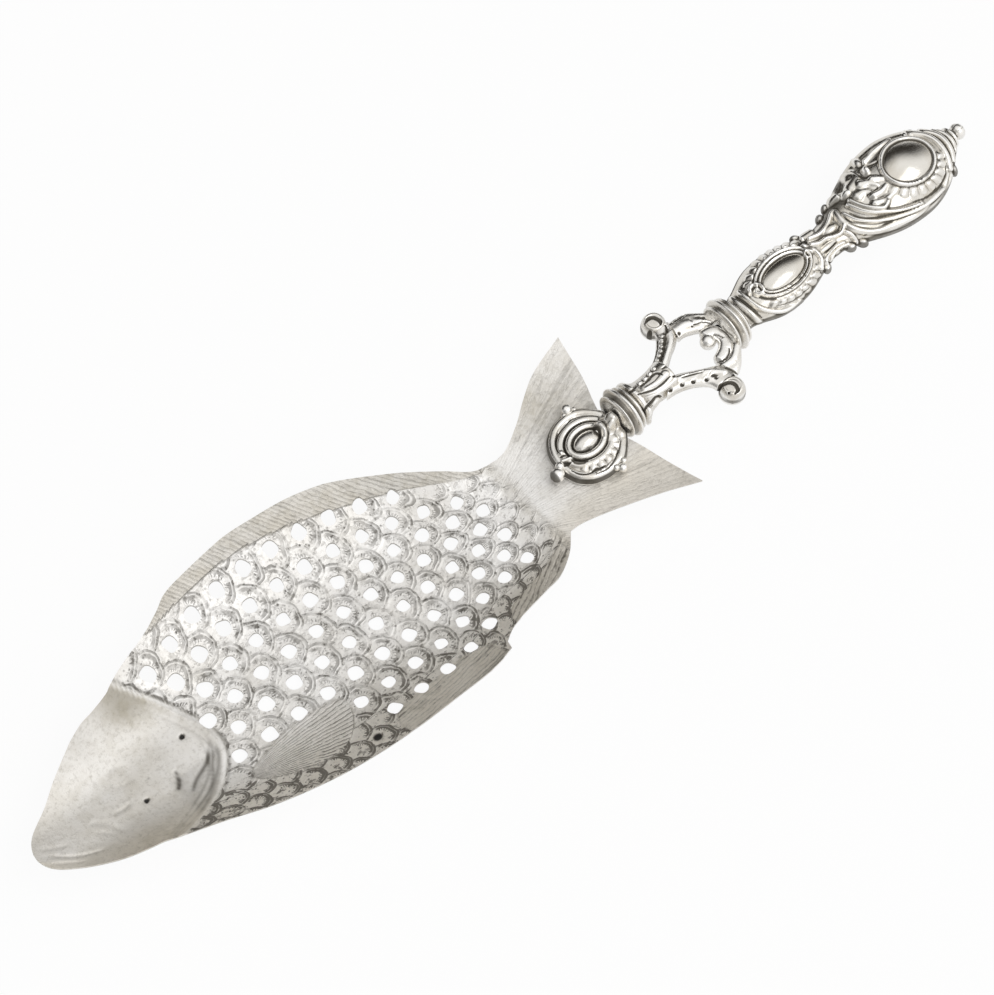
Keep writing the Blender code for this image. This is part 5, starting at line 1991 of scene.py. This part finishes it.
    def waist(self, relief: Relief) -> None:
        """Leaves and scrolls round the waist.

        Args:
            relief: The relief that they are drawn in.
        """
        for middle, halves, rise in (
                ((112.8, 6.9), (1.9, 0.9), 1.2), ((124.8, 7.0), (2.2, 1.2), 1.5),
                ((113.8, 2.3), (2.6, 1.6), 1.2), ((110.0, -1.2), (3.0, 1.2), 0.9),
                ((110.5, -5.2), (1.3, 1.1), 1.0), ((114.0, -5.4), (1.3, 1.1), 1.0)):
            relief.dome(middle, halves, rise)
        relief.ridges((
            (((106.5, 5.6), (110.0, 5.6)), 0.8, 1.1),
            (((114.6, 7.6), (116.5, 8.7), (119.0, 8.4), (122.5, 8.1)), 1.0, 1.4),
            (((107.6, 4.0), (110.5, 3.0), (113.4, 3.3), (115.6, 4.2), (117.4, 5.2), (118.6, 5.4)),
             0.7, 1.3),
            (((106.6, 2.2), (108.5, 1.1), (111.0, 0.8), (113.0, -0.2), (115.4, -0.6), (117.6, 0.6)),
             0.8, 1.3),
            (((105.6, -5.4), (106.4, -3.8), (108.6, -2.9), (111.4, -2.6), (113.8, -3.2)), 0.6, 1.2),
            (((107.2, -5.2), (109.0, -4.0), (112.0, -3.7), (114.5, -4.4)), 0.6, 1.1),
            (((116.4, -1.2), (117.0, -3.2), (116.6, -5.6), (115.6, -6.8)), 0.7, 1.2)))
        relief.grooves((
            (((107.0, 4.5), (111.0, 4.2), (114.5, 5.0), (117.0, 6.3), (121.0, 6.8), (122.5, 5.5),
              (126.0, 5.2)), 0.55, 1.0),
            (((107.0, 3.2), (109.0, 2.2), (111.5, 1.8), (113.0, 1.0), (115.0, 0.6), (116.5, 1.2)),
             0.42, 0.9),
            (((105.0, 2.8), (106.2, 1.2)), 0.40, 0.9),
            (((106.4, -2.0), (109.4, -2.2), (113.0, -1.9)), 0.35, 0.7),
            (((107.6, -6.0), (111.0, -6.6), (115.0, -6.6)), 0.45, 0.8)), 0.35)

    def second_lobe(self, relief: Relief) -> None:
        """The oval boss in its ring, the sweeping scrolls, leaves, petals and the crest.

        Args:
            relief: The relief that they are drawn in.
        """
        oval = self.oval
        relief.flutes(oval, (8.8, 7.8), (11.8, 11.6), (196.0, 338.0), 9, 0.95)
        for middle, radius, rise in (
                ((133.9, 8.6), 1.3, 1.7), ((134.2, 12.6), 1.6, 1.3), ((152.2, 8.8), 1.1, 1.2),
                ((150.6, 9.6), 1.1, 1.2), ((128.8, 10.6), 2.2, 1.2)):
            relief.dome(middle, (radius, radius), rise)
        relief.ridges((
            (((118.6, 5.0), (118.0, 0.5), (119.6, -3.8), (123.0, -6.8), (128.0, -9.2), (134.0, -11.0),
              (140.0, -11.8), (146.0, -11.2), (151.0, -8.6)), 1.3, 1.2),
            (((119.8, 3.0), (121.0, -0.5), (124.0, -4.0), (127.0, -6.0), (131.0, -8.0), (136.0, -9.7),
              (141.0, -10.3), (146.0, -9.8)), 0.7, 1.3),
            (((122.6, 4.2), (124.0, 0.6), (126.2, -2.3), (128.6, -4.2), (131.5, -6.3), (135.0, -8.0),
              (138.0, -8.9)), 0.7, 1.35),
            (((123.8, 4.8), (124.6, 2.2), (125.8, 0.2), (127.5, -1.8), (129.2, -3.0), (131.2, -2.4)),
             0.8, 1.5),
            (((122.0, 9.8), (126.0, 11.8), (131.0, 13.2), (136.0, 13.7), (140.0, 13.6), (145.0, 12.7),
              (149.5, 11.0), (152.0, 9.6)), 1.4, 0.9),
            (((135.5, 10.8), (138.5, 11.2), (142.0, 11.4), (146.0, 10.9)), 0.6, 1.3),
            (((151.6, 9.6), (154.6, 5.5), (155.4, 1.6), (154.4, -3.0), (152.2, -7.0)), 0.9, 1.2),
            (((155.0, 7.4), (157.2, 4.2), (157.8, 1.0), (156.8, -3.0), (155.0, -5.6)), 0.9, 1.1),
            (((158.0, 5.2), (159.6, 2.2), (159.2, -1.6), (157.8, -3.8)), 0.8, 1.0)))
        relief.ridges((
            (((126.8, 7.8), (129.6, 8.8), (131.3, 10.6), (131.0, 11.9)), 2.0, 1.25),
            (((126.4, 4.6), (128.4, 4.4), (130.2, 3.0)), 2.0, 1.2),
            (((129.4, 6.6), (131.6, 5.4), (133.0, 3.4)), 1.8, 1.25),
            (((129.8, 1.6), (132.2, 1.2), (134.8, 1.7)), 1.6, 1.2),
            (((128.4, -0.6), (131.2, -1.6), (134.4, -1.6)), 1.6, 1.15),
            (((133.0, 5.6), (134.6, 4.6), (136.0, 3.2)), 1.4, 1.05)), (1.0, 0.35))
        relief.raise_to(self.boss(relief, oval, (7.5, 6.5), 1.0))
        relief.ring(oval, (8.0, 7.0), 0.72, 1.25)
        # The last number is the side that is painted darker as shade.
        relief.ring_groove(oval, (7.4, 6.4), 0.30, 0.20, 0.75, 80.0)
        relief.grooves((
            (((118.7, 0.0), (120.5, -3.5), (123.5, -6.3), (128.0, -7.9)), 0.42, 0.9),
            (((121.4, 2.4), (122.6, -0.8), (125.0, -3.4), (128.0, -5.4)), 0.36, 0.8),
            (((131.2, 11.2), (131.5, 9.0), (132.6, 7.0), (134.4, 6.4)), 0.50, 1.0),
            (((136.0, 11.0), (140.0, 11.8), (146.0, 11.3)), 0.36, 0.8),
            (((134.0, 10.0), (137.0, 9.0), (139.0, 8.3)), 0.42, 0.9),
            (((124.0, 9.4), (126.6, 9.2)), 0.80, 0.9),
            (((158.2, 4.6), (159.8, 4.4)), 0.45, 0.9),
            (((128.6, 2.9), (130.4, 2.4), (132.4, 2.6)), 0.42, 0.9),
            (((128.0, -9.8), (134.0, -11.4), (140.0, -11.2), (146.0, -10.6), (151.0, -7.6)), 0.34, 0.65),
            (((136.4, -7.6), (140.0, -8.9), (145.0, -9.2), (149.4, -7.8), (152.4, -4.8)), 0.36, 0.75),
            (((153.2, 7.8), (155.9, 4.6), (156.6, 1.2), (155.6, -3.0), (153.6, -6.4)), 0.40, 0.85),
            (((156.8, 6.0), (158.5, 3.0), (158.6, -0.4), (157.2, -4.2)), 0.36, 0.80)), 0.30)

    def build(self) -> Skin:
        """Makes the shell between its outer and inner faces.

        Returns:
            Its skin.
        """
        x = np.linspace(self.start, self.end, self.rows)[:, None]
        angle = np.linspace(-math.pi / 2, math.pi / 2, self.columns)[None, :]
        radius = self.radius(x)
        base_y = radius * np.sin(angle)
        base_z = radius * self.flat * np.cos(angle)
        place = np.repeat(x, angle.size, axis=1)
        front = self.face is Face.FRONT
        relief = drawn_at(place, base_y, AXIS_Z + base_z + 0.4) if front else Relief(place, base_y)
        self.first_lobe(relief)
        self.waist(relief)
        self.second_lobe(relief)
        strength, sink = (1.0, 0.45) if front else (0.35, 0.60)
        inward = ease((np.cos(angle) - 0.05) / 0.30)
        rise = soften(relief.height) * strength * (0.25 + 0.75 * inward) - sink * inward
        for share in self.knobs:
            along = self.start + share * (self.end - self.start)
            for side in Side:
                edge = self.radius(np.array([along]))[0] * side.value
                far = np.sqrt((place - along) ** 2 + (base_y - edge) ** 2 + base_z ** 2)
                bead = np.sqrt(np.clip(self.knob_radius ** 2 - far ** 2, 0.0, None))
                rise = np.where(far < self.knob_radius, np.maximum(rise, bead), rise)
        out_y, out_z = np.sin(angle) * self.flat, np.cos(angle)
        size = np.hypot(out_y, out_z)
        upper = self.face_points(place, base_y + rise * out_y / size, base_z + rise * out_z / size)
        inner = (radius - self.wall) / radius
        lower = self.face_points(place, base_y * inner, base_z * inner)
        # A dark band along both edges of the half: partly the dark seam between the halves, partly painted
        # shade and dark reflection on the edges seen at a grazing angle.
        shadow = 1.15 * ease((np.abs(np.sin(angle)) - 0.955) / 0.03)
        # Patches of painted shade in the recesses of the relief.
        for middle, halves, share in self.shadows:
            shadow = np.maximum(shadow, share * ease(1.35 - relief.off_middle(middle, halves)))
        stain = np.maximum(relief.stain * (0.35 + 0.65 * inward), shadow)
        if not front:
            upper, lower, stain = upper[:, ::-1], lower[:, ::-1], stain[:, ::-1]
        keep = np.ones((place.shape[0] - 1, place.shape[1] - 1), dtype=bool)
        return between(upper, lower, keep, {"dark": (stain, 0.9)})

    def face_points(self, x: Array, y: Array, z: Array) -> Array:
        """Points on this half's side of the seam."""
        return np.stack([x, y, AXIS_Z + self.face.value * (z + self.seam)], axis=-1)

    def dress(self, drawing: Drawing, material: bpy.types.Material) -> None:
        """Makes the piece that stands for this half.

        Args:
            drawing: The drawing's place in the frame.
            material: The piece's material.
        """
        name = {Face.FRONT: "front", Face.REAR: "back"}[self.face]
        node = "handle_" + name + "_shell"
        drawing.piece("stamping_" + name, self.build(), node, material, 9, 0.16)


def soften(height: Array) -> Array:
    """Wears down the sharpest corners between strokes.

    Args:
        height: Heights of a carved face, by row and column.

    Returns:
        The worn heights.
    """
    padded = np.pad(height, 1, mode="edge")
    across = padded[:, :-2] + 2.0 * padded[:, 1:-1] + padded[:, 2:]
    return (across[:-2] + 2.0 * across[1:-1] + across[2:]) / 16.0


@dataclass
class BallFinial:
    """The ball at the handle's tip, on its flared foot."""

    start: float = 159.3
    profile: Points = ((0.0, 2.6), (0.15, 3.2), (0.55, 3.35), (0.95, 2.9), (1.35, 1.9), (1.75, 1.45),
                       (2.1, 1.7), (2.7, 2.2), (3.5, 2.45), (4.3, 2.3), (5.0, 1.75), (5.5, 0.95),
                       (5.85, 0.25))

    def build(self) -> Skin:
        """Turns the finial.

        Returns:
            Its skin.
        """
        fine = evenly(smooth_line(self.profile, 6), 70)
        fine[:, 0] += self.start
        return turned(fine, 48, strokes=self.strokes)

    def strokes(self, relief: Relief) -> None:
        """Cuts the line under the ball and the petals on it.

        Args:
            relief: The relief that they are drawn in.
        """
        relief.groove(np.array([(161.3, -3.0), (161.6, 3.0)]), 0.35, 0.15, 0.9)
        relief.grooves((
            (((162.4, 2.0), (163.8, 2.3), (165.0, 2.0)), 0.30, 0.5),
            (((162.2, 0.1), (163.8, -0.1), (165.2, 0.2)), 0.30, 0.5)), 0.12)

    def dress(self, drawing: Drawing, material: bpy.types.Material) -> None:
        """Makes the piece that stands for the finial."""
        drawing.piece("ball_finial", self.build(), "end_finial", material, 8, 0.12)


@dataclass
class Studio:
    """Pale floor, soft light and the camera.

    Attributes:
        aim: The place in the drawing that the camera looks at.
        bearing: The camera's direction in plan, in degrees from the frame's y.
        elevation: Its angle above the table, in degrees.
        distance: How far it stands from there, in metres.
        focal_pixels: Its focal length, in pixels of the photograph.
        image_width: The photograph's width, in pixels.
        sensor: The sensor's width, in millimetres.
        floor_size: Side of the floor, in metres.
        floor_drop: How far the floor lies under the table's height, in metres.
        grey: Colour of the floor in the light.
        white: Colour of the background.
        bright: Colour of the room's bright side.
        dim: Colour of its dark side.
        beyond: Way to the dim side behind the back.
        low: Way to the dim patch before the nose.
        lamp_size: Length and width of the lamp, in metres.
        lamp_place: Where the lamp hangs in the frame, in metres.
        lamp_energy: Its power, in watts.
    """

    aim: Pair = (-5.219, 7.879)
    bearing: float = 43.2246
    elevation: float = 63.0
    distance: float = 0.900
    focal_pixels: float = 3386.58
    image_width: float = 994.0
    sensor: float = 36.0
    floor_size: float = 4.0
    floor_drop: float = 0.0002
    grey: Colour = (0.92, 0.92, 0.92)
    white: Colour = (1.0, 1.0, 1.0)
    bright: Colour = (0.98, 0.975, 0.965)
    dim: Colour = (0.030, 0.027, 0.023)
    beyond: tuple[float, float, float] = (0.20, 0.98, 0.0)
    low: tuple[float, float, float] = (-0.93, -0.10, 0.35)
    lamp_size: Pair = (0.9, 0.7)
    lamp_place: tuple[float, float, float] = (0.28, -0.62, 0.95)
    lamp_energy: float = 2.5

    def camera(self, drawing: Drawing) -> None:
        """Sets the camera at the photograph's angle.

        Args:
            drawing: The drawing's place in the frame.
        """
        target = Vector(drawing.placed(np.array([self.aim[0], self.aim[1], 0.0])).tolist())
        bearing, lift = math.radians(self.bearing), math.radians(self.elevation)
        plan = math.cos(lift)
        look = Vector((math.sin(bearing) * plan, math.cos(bearing) * plan, -math.sin(lift)))
        data = bpy.data.cameras.new("camera")
        data.sensor_fit = "HORIZONTAL"
        data.sensor_width = self.sensor
        data.lens = self.focal_pixels / self.image_width * data.sensor_width
        data.clip_start, data.clip_end = 0.05, 20.0
        made = bpy.data.objects.new("camera", data)
        made.location = target - look * self.distance
        made.rotation_euler = look.to_track_quat("-Z", "Y").to_euler()
        bpy.context.scene.collection.objects.link(made)
        bpy.context.scene.camera = made

    def floor(self) -> None:
        """Lays the pale floor, white to the camera and in reflections, with the object's soft shadow."""
        half = self.floor_size / 2
        corners = [(-half, -half), (half, -half), (half, half), (-half, half)]
        mesh = bpy.data.meshes.new("floor")
        mesh.from_pydata([(x, y, -self.floor_drop) for x, y in corners], [], [(0, 1, 2, 3)])
        material = bpy.data.materials.new("pale_floor")
        material.use_nodes = True
        shader = Shader(material.node_tree)
        seen = self.seen_rays(shader)
        diffuse = shader.node("ShaderNodeBsdfDiffuse", {}, {"Color": rgba(self.grey)})
        glow = shader.node("ShaderNodeEmission", {}, {"Color": rgba(self.white), "Strength": 1.0})
        mixed = shader.node("ShaderNodeMixShader", {}, {0: seen, 1: diffuse, 2: glow})
        shader.node("ShaderNodeOutputMaterial", {}, {"Surface": mixed})
        mesh.materials.append(material)
        made = bpy.data.objects.new("floor", mesh)
        bpy.context.scene.collection.objects.link(made)

    def seen_rays(self, shader: Shader) -> Socket:
        """How much of the floor's own white the camera, reflections and clear things see.

        Args:
            shader: The floor's node tree.

        Returns:
            The share of white.
        """
        camera = shader.node("ShaderNodeLightPath", {}, {}, "Is Camera Ray")
        glossy = shader.node("ShaderNodeLightPath", {}, {}, "Is Glossy Ray")
        through = shader.node("ShaderNodeLightPath", {}, {}, "Is Transmission Ray")
        return (camera * 0.93).highest(glossy * 0.5).highest(through * 0.93)

    def world(self) -> None:
        """Makes the soft room: bright from above and the belly side, dim beyond the back."""
        world = bpy.data.worlds.new("studio_room")
        bpy.context.scene.world = world
        world.use_nodes = True
        shader = Shader(world.node_tree)
        way = shader.node("ShaderNodeTexCoord", {}, {}, "Generated")
        beyond = self.towards(way, self.beyond).rise(0.0, 0.62)
        high = self.towards(way, (0.0, 0.0, 1.0)).rise(0.46, 0.94)
        dim = beyond * (1.0 - high)
        low = self.towards(way, self.low).rise(0.70, 0.95)
        camera = shader.node("ShaderNodeLightPath", {}, {}, "Is Camera Ray")
        room = shader.blend(dim.highest(low * 0.7), rgba(self.bright), rgba(self.dim))
        colour = shader.blend(camera, room, rgba(self.white))
        back = shader.node("ShaderNodeBackground", {}, {"Color": colour, "Strength": 1.0})
        shader.node("ShaderNodeOutputWorld", {}, {"Surface": back})

    def towards(self, way: Socket, direction: tuple[float, float, float]) -> Socket:
        """How far a way points in a direction, 1 where they are the same."""
        settings = {"operation": "DOT_PRODUCT"}
        return way.shader.node("ShaderNodeVectorMath", settings, {0: way, 1: direction}, "Value")

    def lamp(self) -> None:
        """Hangs one large soft lamp on the bright side."""
        data = bpy.data.lights.new("soft_key", "AREA")
        data.shape = "RECTANGLE"
        data.size, data.size_y = self.lamp_size
        data.energy = self.lamp_energy
        made = bpy.data.objects.new("soft_key", data)
        made.location = self.lamp_place
        made.rotation_euler = (Vector((0.0, 0.0, 0.0)) - made.location).to_track_quat("-Z", "Y").to_euler()
        bpy.context.scene.collection.objects.link(made)

    def build(self, drawing: Drawing) -> None:
        """Sets up the whole studio.

        Args:
            drawing: The drawing's place in the frame.
        """
        self.camera(drawing)
        self.floor()
        self.world()
        self.lamp()
        bpy.context.scene.view_settings.view_transform = "Standard"


def dress_inner_nodes(nodes: dict[str, bpy.types.Object]) -> None:
    """Gives the hidden CAD nodes their materials.

    Args:
        nodes: The CAD nodes by name.
    """
    finishes = {"stem_pin": STEEL, "handle_tang": STEEL, "handle_core": PITCH}
    materials = {finish.name: finish.material() for finish in (STEEL, PITCH)}
    for name, finish in finishes.items():
        for slot in nodes[name].material_slots:
            slot.material = materials[finish.name]
        LOG.info("%s: keeps its solid, finished as %s", name, finish.name)


def main() -> None:
    """Builds the studio and every piece, in order from nose to tip."""
    logging.basicConfig(level=logging.INFO, format="%(name)s %(message)s")
    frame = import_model()
    fish = FishBlade()
    drawing = Drawing.from_frame(fish.length)
    Studio().build(drawing)
    matted, cast, stamped = FROSTED.material(), CAST.material(), STAMPED.material()
    fish.dress(drawing, matted)
    yoke = (LeafSocket(), BACK_ARM, BELLY_ARM, BACK_SCROLL, BELLY_SCROLL)
    for part in (TailMedallion(), STEM_MOULDINGS, *yoke, HANDLE_MOULDINGS):
        part.dress(drawing, cast)
    for face in Face:
        HandleShell(face).dress(drawing, stamped)
    BallFinial().dress(drawing, cast)
    dress_inner_nodes(frame["nodes"])


if __name__ == "__main__":
    main()
